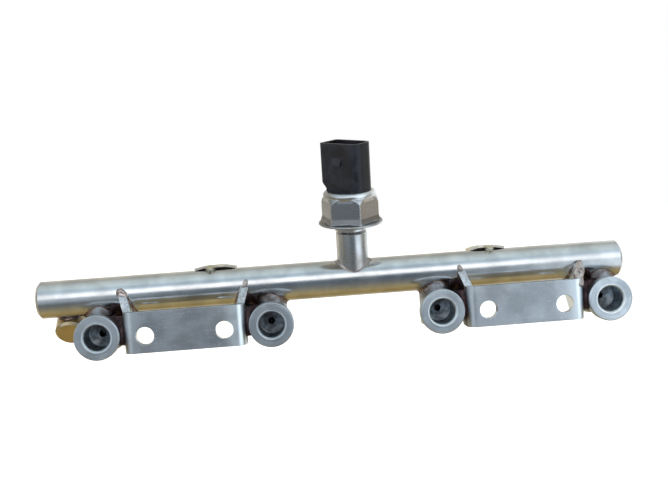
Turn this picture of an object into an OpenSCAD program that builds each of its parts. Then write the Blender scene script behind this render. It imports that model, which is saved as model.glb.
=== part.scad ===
// High-pressure fuel rail of a four-cylinder petrol engine with direct injection:
// a thick-walled steel tube with four injector cups, two bolting brackets, a fuel
// inlet, two harness straps and a pressure sensor, all joined by copper brazing
// except the sensor, which screws into its port.
// Frame: +X along the rail, +Z up, the injector cups open towards -Y.
// Origin: the middle of the row of bolt holes, on the brackets' mounting face.

/* [Layout] */
// Distance between neighbouring injector cups, the engine's bore spacing
cup_pitch = 91; // [88:1:96]
// Height of the cup axes above the row of bolt holes
cup_rise = 0.9; // [0:0.1:3]
// How far the cup mouths stand out past the mounting face
cup_proud = 1; // [0:0.1:3]
// Distance of the tube's axis behind the mounting face
tube_back = 21; // [20:0.1:22.5]

/* [Rail tube] */
// Outer diameter of the rail tube
tube_od = 20; // [19:0.5:22]
// Bore of the rail tube
tube_bore = 11; // [9:0.5:12]
// Length of tube past the axis of the first cup
tube_over_left = 33; // [31:0.5:46]
// Length of tube past the axis of the last cup
tube_over_right = 12.4; // [10:0.2:30]
// Chamfer round the tube's ends
tube_chamfer = 1.5; // [0.5:0.1:2]
// Length of the plug brazed into each end
plug_len = 8; // [5:0.5:10]
// Depth of the plug's face inside the tube's end
plug_recess = 0.8; // [0:0.1:2]

/* [Injector cups] */
// Outer diameter of an injector cup's head
cup_od = 23.8; // [22.6:0.2:24.6]
// Length of the head at its full diameter
cup_head = 5; // [3:0.5:6.5]
// Length of the cone behind the head
cup_taper = 4.5; // [3:0.5:6]
// Diameter of the upright body that carries the tube
cup_body_od = 17.8; // [17.2:0.1:18.6]
// Diameter of the bore that the injector's seal runs in
cup_bore = 13.5; // [12:0.1:14]
// Depth of the straight part of the bore
cup_bore_depth = 15; // [12:0.5:16]
// Diameter of the lead-in at the mouth
cup_mouth = 15; // [14.6:0.1:16.6]
// Depth of the lead-in at the mouth
cup_lead = 0.9; // [0.5:0.1:2.5]
// Included angle of the cone at the bottom of the bore
cup_cone_angle = 120; // [110:1:130]
// Bevel on the cup's outer front edge
cup_edge = 0.5; // [0.2:0.1:1]
// Bevel round the body's flat underside
cup_foot_bevel = 0.8; // [0.4:0.1:1.5]
// How far the tube's underside lies below the tops of the heads
saddle_depth = 2.1; // [1.5:0.1:3]
// Diameter of the fuel drillings into the cups
feed_d = 3.5; // [2.5:0.1:4]

/* [Brackets] */
// Clearance between an ear and the cup beside it
ear_clear = 1.6; // [1:0.1:2.2]
// Height of the web below the bolt holes
web_below = 9; // [8:0.5:14]
// Height of the web above the bolt holes
web_above = 12.8; // [11:0.1:13.5]
// Sheet thickness
sheet = 4; // [3:0.25:4.5]
// Outside radius of the web's bends
bend_r = 5; // [4.75:0.25:6]
// Distance between the two bolt holes of a bracket
bolt_spacing = 41.4; // [34:0.2:42]
// Diameter of a bolt hole
bolt_hole = 9.5; // [8.4:0.1:10]
// Outward lean of the ears' upper tongues
ear_lean = 17; // [8:1:19]
// How far above the tube's axis the tongues reach round its front, as an angle
ear_reach = 16; // [12:1:35]
// Thickness of the tongue's tip on the tube
ear_tip = 1.5; // [1:0.1:2.5]
// Distance of the ears' rear edge behind the tube's axis
ear_rear = 5; // [3:0.5:7]

/* [Sensor port] */
// Position of the sensor's axis along the rail
sensor_x = 1; // [-20:0.5:20]
// Lean of the sensor towards the cups' side
sensor_lean = 11; // [0:1:14]
// Outer diameter of the port
port_od = 17; // [15.5:0.5:18]
// Height of the port's top above the tube's axis
port_top = 26; // [24:0.5:30]
// Diameter of the sensor's threaded stem
stem_d = 10.6; // [10:0.1:11.5]
// Clearance round the stem in the port
stem_clear = 0.1; // [0.05:0.05:0.3]
// Height of the sealing cone's upper edge above the tube's axis
seat_top = 18; // [17:0.1:19]
// Diameter of the pressure drilling
sense_d = 3; // [2:0.1:4]

/* [Sensor] */
// Gap between the port's top and the sensor's collar
collar_gap = 1.2; // [0.6:0.1:2.5]
// Diameter of the collar under the flange
collar_d = 17.4; // [15:0.2:18]
// Height of the collar
collar_h = 1.3; // [0.8:0.1:2.5]
// Size of the hexagon across its flats
hex_af = 27; // [26:0.5:28]
// Turn of the hexagon about the sensor's axis
hex_turn = 15; // [0:1:30]
// Size of the bead rolled round the body's rim
rim_bead = 2.1; // [1.6:0.1:2.4]
// Diameter of the flange
flange_d = 34.8; // [34:0.2:38]
// Height of the hexagonal body above the collar
body_h = 20.5; // [19:0.1:24]
// Diameter of the connector's foot, inside the body's rolled rim
foot_d = 22; // [20:0.1:22.2]
// Clearance round the connector's foot
foot_clear = 0.1; // [0.05:0.05:0.2]
// Depth of the connector's foot inside the body
foot_depth = 3.6; // [2.5:0.1:4.5]
// Thickness of the circuit board
board_t = 1.6; // [1:0.1:2]
// Diameter of the pressure cell
cell_d = 12; // [9:0.5:13]
// Height of the pressure cell
cell_h = 5.5; // [4:0.5:6.5]

/* [Connector] */
// Height of the connector above the rolled rim
conn_h = 25.6; // [22:0.2:28]
// Turn of the connector about the sensor's axis
conn_turn = 43; // [0:1:90]
// Reach of the connector on its rounded side
conn_right = 12; // [11.5:0.1:13]
// Reach of the connector on its square side
conn_left = 13; // [11.5:0.1:13.6]
// Overhang of the square side past the foot below it
conn_step = 3.5; // [2:0.1:4]
// Thickness of the connector across the row of blades
conn_depth = 15; // [14:0.2:16]
// Corner radius on the rounded side
conn_round = 5.5; // [3:0.5:6.5]
// Wall thickness of the connector's shell
conn_wall = 1.6; // [1.2:0.1:2]
// Depth of the plug's socket
socket_depth = 17.5; // [14:0.5:19]
// Width of the lock nose
nose_w = 5.6; // [3:0.2:7]
// Height of the lock nose on the shell
nose_proud = 1.5; // [0.6:0.1:1.8]
// Width of a contact blade
pin_w = 1.5; // [1:0.1:2]
// Thickness of a contact blade
pin_t = 0.8; // [0.6:0.1:1]
// Distance between neighbouring contact blades
pin_pitch = 5; // [4:0.1:5.5]
// Height of the blades above the socket's floor
pin_h = 9; // [6:0.5:12]
// Length of each blade inside the connector's floor
pin_seat = 3; // [2:0.5:3.5]

/* [Fuel inlet] */
// Distance of the inlet's axis before the first cup
inlet_left = 18.5; // [17.5:0.1:22]
// Angle of the inlet's axis above the horizontal, towards the back
inlet_tilt = 40; // [30:1:50]
// Diameter of the inlet's body
inlet_od = 17; // [16:0.5:18]
// How deep the tube sits in the inlet's saddle
inlet_sink = 1.5; // [1:0.1:2]
// Length of the body before the middle of its saddle
inlet_front = 10.6; // [9.4:0.2:12]
// Length of the body behind the middle of its saddle
inlet_back = 8.5; // [7.5:0.5:12]
// Bevel on the body's closed end
inlet_bevel = 1.2; // [0.5:0.1:2]
// Diameter of the threaded spigot
spigot_d = 14; // [12:0.5:14]
// Length of the threaded spigot
spigot_len = 13; // [11:0.5:16]
// Bore of the inlet
inlet_bore = 6; // [4:0.5:7]
// Diameter of the sealing cone's mouth
inlet_cone_d = 11; // [9.5:0.5:11.5]
// Drilling from the inlet into the tube
inlet_feed = 4; // [3:0.1:4]
// Clearance between the inlet's coped side and the first cup
inlet_cup_clear = 0.6; // [0.4:0.1:1]

/* [Harness straps] */
// Length of a strap along the tube
strap_len = 22; // [18:1:26]
// Width of a strap from front to back
strap_w = 14; // [12:0.5:18]
// Sheet thickness of a strap
strap_t = 1.5; // [1:0.1:2]
// Height of the gap under the strap's middle
strap_gap = 1.2; // [0.8:0.1:2]
// Length of each sloping end
strap_slope = 5.5; // [4:0.5:7]
// Part of the strap that lies in front of the tube's crown
strap_front = 2; // [1:0.5:3]
// Diameter of the clip hole in the strap
strap_hole = 6.5; // [5:0.5:8]
// Width of the V tongue at the strap
tongue_w = 5.5; // [4:0.5:7]
// Distance of the V tongue from the strap's middle
tongue_off = 2.6; // [0:0.1:3.5]
// Distance of a strap's middle from the neighbouring bracket's middle, outwards from the sensor
strap_shift = -17; // [-20:1:8]

/* [Brazing] */
// Size of the brazed fillets round the cups
braze_cup = 1.4; // [0.8:0.1:2]
// Size of the brazed fillets round the ports
braze_port = 1.1; // [0.6:0.1:1.6]
// Size of the brazed beads along the ears
braze_ear = 1.2; // [0.8:0.1:1.4]

/* [Hidden] */
$fn = 96;
eps = 0.01;
cups = 4;
tube_r = tube_od / 2;
cup_r = cup_od / 2;
cup_body_r = cup_body_od / 2;
cup_neck_r = cup_body_r - 0.2;
// the tube lies in the saddles of the cups' upright bodies, behind their heads
tube_z = cup_rise + cup_r + tube_r - saddle_depth;
tube_x0 = cup_x(0) - tube_over_left;
tube_x1 = cup_x(cups - 1) + tube_over_right;
tube_len = tube_x1 - tube_x0;
cup_foot = cup_rise - cup_body_r;
cup_cone = (cup_bore - feed_d) / 2 / tan(cup_cone_angle / 2);
feed_end = cup_proud + tube_back + feed_d;
web_mid = cup_pitch;
web_len = cup_pitch - cup_od - 2 * ear_clear;
ear_r = tube_r + ear_tip;
hex_r = hex_af / 2 / cos(30);
collar_z = port_top + collar_gap;
body_z = collar_z + collar_h;
rim_z = body_z + body_h;
foot_z = rim_z - foot_depth;
board_z = foot_z - board_t;
cell_z = board_z - cell_h;
flange_r = flange_d / 2;
rim_r = foot_d / 2 + foot_clear + 0.9;
dome_r = 8;
dome_in = hex_r - 7.9;
dome_z = rim_z - 8;
nose_tip = seat_top - (stem_d - sense_d) / 2 / tan(30);
conn_z = rim_z;
conn_top = conn_z + conn_h;
step_low = conn_z + 1.6;
step_high = step_low + conn_step * 1.15;
socket_z = conn_top - socket_depth;
nose_x = -1.2;
nose_h = 4;
nose_z = conn_z + 13.8;
inlet_x = cup_x(0) - inlet_left;
inlet_r = inlet_od / 2;
inlet_off = tube_r + inlet_r - inlet_sink;
inlet_end = inlet_back + spigot_len;
strap_mid = web_mid + strap_shift;

// steel, plated sheet, copper brazing and black plastic
steel = [0.66, 0.69, 0.73];
plate = [0.60, 0.63, 0.68];
copper = [0.44, 0.29, 0.22];
hexsteel = [0.56, 0.58, 0.62];
plastic = [0.05, 0.05, 0.06];
tin = [0.75, 0.74, 0.70];
board_green = [0.10, 0.30, 0.16];

// X of injector cup i, counted from the left
function cup_x(i) = (i - (cups - 1) / 2) * cup_pitch;

// a solid of revolution about the X axis from a (radius, x) profile
module turned_x(profile) rotate([90, 0, 90]) rotate_extrude() polygon(profile);

// the space that the rail tube fills, grown by g
module tube_space(g = 0, x0 = tube_x0 - 5, x1 = tube_x1 + 5)
    translate([x0, tube_back, tube_z]) rotate([0, 90, 0])
        cylinder(r = tube_r + g, h = x1 - x0);

// frames: the sensor's axis, its turned connector and the inlet's axis
module on_sensor() translate([sensor_x, tube_back, tube_z]) rotate([sensor_lean, 0, 0]) children();
module on_plug() on_sensor() rotate([0, 0, -conn_turn]) children();
module on_inlet() translate([inlet_x, tube_back, tube_z]) rotate([inlet_tilt - 90, 0, 0]) children();

module rail_tube() color(steel) difference() {
    translate([tube_x0, tube_back, tube_z]) turned_x([
        [tube_bore / 2, 0], [tube_r - tube_chamfer, 0], [tube_r, tube_chamfer],
        [tube_r, tube_len - tube_chamfer], [tube_r - tube_chamfer, tube_len],
        [tube_bore / 2, tube_len]]);
    for (i = [0 : cups - 1]) translate([cup_x(i), tube_back, tube_z - tube_r - 1])
        cylinder(d = feed_d, h = tube_r + 1);
    on_sensor() cylinder(d = sense_d, h = tube_r + 1);
    on_inlet() rotate([-90, 0, 0]) cylinder(d = inlet_feed, h = tube_r + 1);
}

// end plug, with the outer face at x = 0 and the body along +X
module end_plug() color(steel) turned_x([
    [0, 0], [tube_bore / 2 - 0.4, 0], [tube_bore / 2, 0.4], [tube_bore / 2, plug_len - 0.6],
    [tube_bore / 2 - 0.6, plug_len], [0, plug_len]]);
module end_plug_left() translate([tube_x0 + plug_recess, tube_back, tube_z]) end_plug();
module end_plug_right() translate([tube_x1 - plug_recess, tube_back, tube_z]) mirror([1, 0, 0]) end_plug();

// space round a cup's upright body, grown by g
module cup_space(i, g = 0) translate([cup_x(i), tube_back, cup_foot - g])
    cylinder(r = cup_body_r + g, h = tube_z - cup_foot + g);

// one injector cup: turned head, cone and neck, an upright body with a saddle for the tube,
// the stepped bore and the two fuel drillings
module injector_cup(i) color(steel) difference() {
    union() {
        translate([cup_x(i), -cup_proud, cup_rise]) rotate([-90, 0, 0]) rotate_extrude() polygon([
            [0, 0], [cup_r - cup_edge, 0], [cup_r, cup_edge], [cup_r, cup_head],
            [cup_neck_r, cup_head + cup_taper], [cup_neck_r, cup_proud + tube_back],
            [0, cup_proud + tube_back]]);
        translate([cup_x(i), tube_back, 0]) rotate_extrude() polygon([
            [0, cup_foot], [cup_body_r - cup_foot_bevel, cup_foot],
            [cup_body_r, cup_foot + cup_foot_bevel], [cup_body_r, tube_z], [0, tube_z]]);
    }
    translate([cup_x(i), -cup_proud, cup_rise]) rotate([-90, 0, 0]) rotate_extrude() polygon([
        [0, -1], [cup_mouth / 2, -1], [cup_mouth / 2, 0], [cup_bore / 2, cup_lead], [cup_bore / 2, cup_bore_depth],
        [feed_d / 2, cup_bore_depth + cup_cone], [feed_d / 2, feed_end - feed_d / 4], [0, feed_end]]);
    tube_space();
    translate([cup_x(i), tube_back, cup_rise]) cylinder(d = feed_d, h = cup_r + 1);
}
module injector_cup_1() injector_cup(0);
module injector_cup_2() injector_cup(1);
module injector_cup_3() injector_cup(2);
module injector_cup_4() injector_cup(3);

// copper that fills the wedge between each cup's body and the tube
module cup_brazing() color(copper) for (i = [0 : cups - 1]) difference() {
    intersection() {
        cup_space(i, braze_cup);
        tube_space(braze_cup);
    }
    translate([cup_x(i), tube_back, cup_foot - 5]) cylinder(r = cup_body_r, h = tube_z - cup_foot + 10);
    tube_space();
}

// plan of the web and its two bends, with the mounting face at y = 0
module web_plan(depth = bend_r + 3) {
    module rounded(w, d, r) union() {
        translate([-w / 2 + r, 0]) square([w - 2 * r, d]);
        translate([-w / 2, r]) square([w, d - r]);
        for (s = [-1, 1]) translate([s * (w / 2 - r), r]) circle(r = r, $fn = 64);
    }
    difference() {
        rounded(web_len, depth, bend_r);
        translate([0, sheet]) rounded(web_len - 2 * sheet, depth, bend_r - sheet);
    }
}

// front view of the right-hand ear: upright beside the cup, then leaning out over it; g grows it sideways
module ear_strip(g = 0) {
    z1 = tube_z + tube_r;
    k = tan(ear_lean);
    out = web_len / 2 + g;
    inn = web_len / 2 - sheet - g;
    w = (sheet + 2 * g) / cos(ear_lean);
    polygon([[inn, -web_below], [out, -web_below], [out, web_above], [out + (z1 - web_above) * k, z1],
             [out + (z1 - web_above) * k - w, z1], [inn, web_above + (w * cos(ear_lean)) * tan(ear_lean / 2)]]);
}

// side view of an ear, as (y, z): a gusset under the tube with a tongue that rises round its front
module ear_side(g = 0) polygon([
    [bend_r, -web_below], [tube_back - 7, -web_below],
    [tube_back + ear_rear, tube_z - tube_r - 6], [tube_back + ear_rear + g, tube_z - tube_r + 2],
    [tube_back + ear_rear + g, tube_z], [tube_back, tube_z],
    [tube_back - (tube_r - 1) * cos(ear_reach + 3 + 4 * g), tube_z + (tube_r - 1) * sin(ear_reach + 3 + 4 * g)],
    [tube_back - (tube_r + 0.3) * cos(ear_reach + 3 + 4 * g), tube_z + (tube_r + 0.3) * sin(ear_reach + 3 + 4 * g)],
    [tube_back - (ear_r + g) * cos(ear_reach - 3), tube_z + (ear_r + g) * sin(ear_reach - 3)],
    [bend_r - 0.5 - g, web_above]]);

module ear(g = 0) intersection() {
    translate([0, tube_back + 20, 0]) rotate([90, 0, 0]) linear_extrude(height = tube_back + 20) ear_strip(g);
    rotate([90, 0, 90]) linear_extrude(height = web_len) ear_side(g);
}

// one bracket: bent sheet with a bolting web and two ears that cradle the tube
module bracket() color(plate) difference() {
    union() {
        translate([0, 0, -web_below]) linear_extrude(height = web_below + web_above) web_plan();
        for (s = [0, 1]) mirror([s, 0, 0]) ear();
    }
    tube_space(0, -web_len, web_len);
    for (s = [-1, 1]) translate([s * bolt_spacing / 2, -1, 0]) rotate([-90, 0, 0])
        cylinder(d = bolt_hole, h = sheet + 2);
}
module bracket_left() translate([-web_mid, 0, 0]) bracket();
module bracket_right() translate([web_mid, 0, 0]) bracket();

// copper beads along both sides and over the tip of each ear
module bracket_brazing() color(copper) for (b = [-1, 1], s = [0, 1])
    translate([b * web_mid, 0, 0]) mirror([s, 0, 0]) difference() {
        intersection() {
            ear(braze_ear);
            tube_space(braze_ear, 0, web_len);
        }
        tube_space(0, -1, web_len + 1);
        ear();
    }

// sensor port: a turned boss with a saddle, a stem bore and a 60 degree sealing seat
module sensor_port() color(steel) difference() {
    on_sensor() rotate_extrude() polygon([
        [0, 0], [port_od / 2, 0], [port_od / 2, port_top - 0.5], [port_od / 2 - 0.5, port_top],
        [stem_d / 2 + stem_clear + 0.6, port_top], [stem_d / 2 + stem_clear, port_top - 0.6],
        [stem_d / 2 + stem_clear, seat_top + stem_clear / tan(30)],
        [sense_d / 2, nose_tip], [sense_d / 2, 1], [0, 1]]);
    tube_space();
}
module port_brazing() color(copper) difference() {
    intersection() {
        on_sensor() cylinder(r = port_od / 2 + braze_port, h = tube_od);
        tube_space(braze_port);
    }
    on_sensor() cylinder(d = port_od, h = tube_od + 5);
    tube_space();
}

// steel sensor body: cone-nosed stem, collar, flared flange, chamfered hexagon and rolled rim
module sensor_body() color(hexsteel) on_sensor() difference() {
    union() {
        rotate_extrude() polygon([
            [0, nose_tip], [sense_d / 2, nose_tip], [stem_d / 2, seat_top], [stem_d / 2, collar_z],
            [collar_d / 2, collar_z], [collar_d / 2, body_z],
            [flange_r - 4, body_z + 1.7], [flange_r - 0.3, body_z + 2.5], [flange_r, body_z + 2.9],
            [flange_r - 0.2, body_z + 3.4], [flange_r - 1, body_z + 3.8], [hex_af / 2 - 0.2, body_z + 4.5],
            [0, body_z + 4.5]]);
        // hexagon, its upper corners turned off in an arc, and the flare at its foot
        intersection() {
            translate([0, 0, body_z + 3.2]) rotate([0, 0, -hex_turn])
                cylinder(r = hex_r, h = body_h, $fn = 6);
            rotate_extrude() intersection() {
                union() {
                    square([dome_in + dome_r, dome_z]);
                    translate([dome_in, dome_z]) circle(r = dome_r);
                    square([dome_in, rim_z]);
                }
                square([hex_r + 2, rim_z]);
            }
        }
        translate([0, 0, body_z + 3.8]) rotate([0, 0, -hex_turn])
            cylinder(r1 = hex_r + 1, r2 = hex_r, h = 3, $fn = 6);
        translate([0, 0, rim_z - rim_bead]) rotate_extrude() {
            translate([rim_r, 0]) circle(r = rim_bead);
            translate([0, -rim_bead]) square([rim_r, 2 * rim_bead]);
        }
    }
    // inside: the pressure drilling, the cell's chamber, the board's step and the rim's mouth
    rotate_extrude() polygon([
        [0, nose_tip - 1], [sense_d / 2, nose_tip - 1], [sense_d / 2, cell_z],
        [cell_d / 2 + 1.5, cell_z], [cell_d / 2 + 1.5, board_z], [foot_d / 2 + foot_clear, board_z],
        [foot_d / 2 + foot_clear, rim_z + 1], [0, rim_z + 1]]);
}

// pressure cell: a turned cup whose closed top is the diaphragm
module pressure_cell() color(tin) on_sensor() rotate_extrude() polygon([
    [sense_d / 2, cell_z], [cell_d / 2, cell_z], [cell_d / 2, cell_z + 2], [cell_d / 2 - 1, cell_z + 2.5],
    [cell_d / 2 - 1, board_z - 0.6], [0, board_z - 0.6], [0, board_z - 1.2],
    [cell_d / 2 - 2.5, board_z - 1.2], [cell_d / 2 - 2.5, cell_z + 1.5], [sense_d / 2, cell_z + 1.5]]);

module circuit_board() color(board_green) on_plug() difference() {
    translate([0, 0, board_z]) cylinder(d = foot_d - 0.6, h = board_t);
    translate([foot_d / 2 - 2.5, -1.5, board_z - 1]) cube([3, 3, board_t + 2]);
}

// section of the connector's shell, shrunk by g
module shell_section(g = 0) {
    xl = -conn_left + g;
    xr = conn_right - g;
    d = conn_depth / 2 - g;
    rr = max(conn_round - g, 0.5);
    rl = max(1.8 - g, 0.5);
    union() {
        for (s = [-1, 1]) {
            translate([xr - rr, s * (d - rr)]) circle(r = rr, $fn = 64);
            translate([xl + rl, s * (d - rl)]) circle(r = rl, $fn = 48);
        }
        translate([xl + rl, -d]) square([xr - rr - xl - rl, 2 * d]);
        translate([xl, -d + rl]) square([rl + eps, 2 * (d - rl)]);
        translate([xr - rr - eps, -d + rr]) square([rr + eps, 2 * (d - rr)]);
    }
}

// connector: foot under the rolled rim, shell with a stepped side, plug socket, ribs and lock nose
module sensor_connector() color(plastic) on_plug() difference() {
    union() {
        translate([0, 0, foot_z]) cylinder(d = foot_d, h = foot_depth + eps);
        intersection() {
            translate([0, 0, conn_z]) linear_extrude(height = conn_h) shell_section();
            translate([0, conn_depth, 0]) rotate([90, 0, 0]) linear_extrude(height = 2 * conn_depth) polygon([
                [conn_step - conn_left, conn_z], [conn_right, conn_z], [conn_right, conn_top],
                [-conn_left, conn_top], [-conn_left, step_high], [conn_step - conn_left, step_low]]);
        }
        // lock nose: a ramp that the plug's latch snaps over
        translate([nose_x, -conn_depth / 2, nose_z]) rotate([90, 0, 90])
            translate([0, 0, -nose_w / 2]) linear_extrude(height = nose_w)
                polygon([[0.5, 0], [-nose_proud, 0], [-nose_proud, 1.2], [0, nose_h], [0.5, nose_h]]);
    }
    translate([0, 0, socket_z]) linear_extrude(height = socket_depth + 1) shell_section(conn_wall);
    for (k = [-1 : 1]) translate([k * pin_pitch - pin_w / 2, -pin_t / 2, socket_z - pin_seat])
        cube([pin_w, pin_t, pin_seat + 1]);
}

// one contact blade, standing in its slot in the socket's floor
module contact_blade(k) color(tin) on_plug() translate([k * pin_pitch, 0, socket_z - pin_seat])
    rotate([90, 0, 0]) translate([0, 0, -pin_t / 2]) linear_extrude(height = pin_t) polygon([
        [-pin_w / 2, 0], [pin_w / 2, 0], [pin_w / 2, pin_seat + pin_h - 0.8], [pin_w / 4, pin_seat + pin_h],
        [-pin_w / 4, pin_seat + pin_h], [-pin_w / 2, pin_seat + pin_h - 0.8]]);
module contact_blade_1() contact_blade(-1);
module contact_blade_2() contact_blade(0);
module contact_blade_3() contact_blade(1);

// inlet fitting: closed at the front, with a saddle, and a threaded spigot at the back
module inlet_fitting() color(steel) difference() {
    on_inlet() translate([0, inlet_off, 0]) difference() {
        rotate_extrude() polygon([
            [0, -inlet_front], [inlet_r - inlet_bevel, -inlet_front], [inlet_r, -inlet_front + inlet_bevel],
            [inlet_r, inlet_back - 0.8], [inlet_r - 0.8, inlet_back], [spigot_d / 2 - 1, inlet_back],
            [spigot_d / 2 - 1, inlet_back + 1.5], [spigot_d / 2, inlet_back + 2.5],
            [spigot_d / 2, inlet_end - 1], [spigot_d / 2 - 1, inlet_end],
            [inlet_cone_d / 2, inlet_end], [inlet_bore / 2, inlet_end - (inlet_cone_d - inlet_bore) / 2 / tan(30)],
            [inlet_bore / 2, -1], [0, -1 - inlet_bore / 4]]);
        rotate([90, 0, 0]) cylinder(d = inlet_feed, h = inlet_r);
    }
    tube_space();
    cup_space(0, inlet_cup_clear);
}
module inlet_brazing() color(copper) difference() {
    intersection() {
        on_inlet() translate([0, inlet_off, -inlet_front + inlet_bevel])
            cylinder(r = inlet_r + braze_port, h = inlet_front + inlet_back - inlet_bevel - 0.8);
        tube_space(braze_port);
    }
    on_inlet() translate([0, inlet_off, -inlet_front - 5])
        cylinder(r = inlet_r, h = inlet_front + inlet_back + 10);
    tube_space();
    cup_space(0, inlet_cup_clear);
    cup_space(0, braze_cup + 0.2);
}

// harness strap: an arched strip on the tube's crown, held by a V tongue folded onto its front
module strap() color(plate) {
    l = strap_len / 2;
    c = tube_z + tube_r;
    f = l - strap_slope;
    difference() {
        translate([0, tube_back + strap_w - strap_front, c]) rotate([90, 0, 0])
            linear_extrude(height = strap_w) polygon([
                [-l, 0], [-f, strap_gap], [f, strap_gap], [l, 0],
                [l + 0.3, strap_t], [f + 0.3, strap_gap + strap_t], [-f - 0.3, strap_gap + strap_t], [-l - 0.3, strap_t]]);
        translate([0, tube_back + strap_w - strap_front - strap_hole / 2 - 3, c])
            cylinder(d = strap_hole, h = 2 * (strap_gap + strap_t));
        tube_space(0, -strap_len, strap_len);
    }
    // the V tongue: a tapered piece of a shell that hugs the tube's front
    intersection() {
        difference() {
            tube_space(strap_gap + strap_t, -strap_len, strap_len);
            tube_space(0, -strap_len, strap_len);
        }
        translate([-tongue_off, tube_back, c + strap_t]) rotate([90, 0, 0]) linear_extrude(height = tube_r) polygon([
            [-tongue_w / 2, strap_gap], [tongue_w / 2, strap_gap], [tongue_w / 2, -strap_t], [0.7, -strap_t - 2.6],
            [-0.7, -strap_t - 2.6], [-tongue_w / 2, -strap_t]]);
        translate([-strap_len, tube_back - tube_r, 0]) cube([2 * strap_len, tube_r - strap_front + eps, c + 10]);
    }
}
module strap_left() translate([-strap_mid, 0, 0]) strap();
module strap_right() translate([strap_mid, 0, 0]) mirror([1, 0, 0]) strap();

rail_tube();
end_plug_left();
end_plug_right();
injector_cup_1();
injector_cup_2();
injector_cup_3();
injector_cup_4();
cup_brazing();
bracket_left();
bracket_right();
bracket_brazing();
inlet_fitting();
inlet_brazing();
strap_left();
strap_right();
sensor_port();
port_brazing();
sensor_body();
pressure_cell();
circuit_board();
sensor_connector();
contact_blade_1();
contact_blade_2();
contact_blade_3();
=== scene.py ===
"""A petrol engine's high-pressure fuel rail, dressed and lit.

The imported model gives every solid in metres: X along the rail, Z up, the injector
cups open towards -Y. This script adds the brazed fillets and the inlet's thread,
gives each piece its finish, and sets up the studio and the camera.
"""

from __future__ import annotations

import logging
import math
from dataclasses import dataclass
from enum import Enum
from typing import Any, Callable, Iterable, NamedTuple

import bmesh
import bpy
import numpy as np
from mathutils import Matrix


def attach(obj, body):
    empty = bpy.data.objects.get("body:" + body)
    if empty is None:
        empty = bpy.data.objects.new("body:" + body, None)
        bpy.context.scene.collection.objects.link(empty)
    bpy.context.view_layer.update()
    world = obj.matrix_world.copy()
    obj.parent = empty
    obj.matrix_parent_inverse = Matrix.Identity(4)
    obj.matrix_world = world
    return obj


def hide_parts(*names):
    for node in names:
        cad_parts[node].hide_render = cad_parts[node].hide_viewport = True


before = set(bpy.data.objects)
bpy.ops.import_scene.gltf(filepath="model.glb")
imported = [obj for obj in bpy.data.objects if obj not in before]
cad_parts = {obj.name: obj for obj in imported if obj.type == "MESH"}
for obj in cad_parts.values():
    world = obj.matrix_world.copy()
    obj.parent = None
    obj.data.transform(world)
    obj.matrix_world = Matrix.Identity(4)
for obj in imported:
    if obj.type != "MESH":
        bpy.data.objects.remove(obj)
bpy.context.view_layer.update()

log = logging.getLogger("fuel_rail")

MM = 0.001
Vec = tuple[float, float, float]
Material = bpy.types.Material
Socket = bpy.types.NodeSocket
MOST_NOISE = (0.36, 0.64)  # most of a noise's values lie between these
WEAR_LEAN = (0.995, 0.9)  # cosines of an edge's lean where its wear starts and is full
HEAT_UNEVEN = 0.008  # how far the edge of a heat tint wanders, in metres
DULL_SHARE = 0.55  # how much of the dull colour a smudge brings
LINE_ROUGH = 0.10  # how much the fine lines vary the roughness
TINT_ROUGH = 0.18  # how much a heat tint adds to it
WORN_EDGE_HIGHLIGHT_TONE = 1.35  # how much brighter a worn edge is: wear and a painted highlight together
SIDE_FACING = 0.7  # the normal's x from which a face counts as a side for the painted side light


# ---------------------------------------------------------------- node helpers


class Patches(NamedTuple):
    """Noise shaped into patches.

    scale counts the noise's cells in a metre. A patch starts where the noise reaches
    start and is full at full; the value goes from low to high there.
    """

    scale: float
    detail: float = 3.0
    rough: float = 0.5
    start: float = MOST_NOISE[0]
    full: float = MOST_NOISE[1]
    low: float = 0.0
    high: float = 1.0


CLOUD_SCALE = 75.0
# painted shade in bores, broken into streaks
BORE_SHADE_STREAKS = Patches(380.0, low=0.62, high=1.5)
WORN_BREAKS = Patches(400.0, start=0.35, full=0.6, low=0.35)
HEAT_PATCHES = Patches(260.0, 5.0, start=0.3, full=0.65, low=0.35)
TONGUE_HIGHLIGHT_SPECKLE = Patches(900.0, 4.0, start=0.35, full=0.65, low=0.1, high=0.6)
THIN_SCRATCHES = Patches(1500.0, 2.0, 0.3, start=0.55, full=0.62)
SCRATCH_LENGTHS = Patches(1.0, 2.0, start=0.52, full=0.6)
GREY_BRAZE = Patches(130.0, 4.0, start=0.45, full=0.7)


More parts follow.
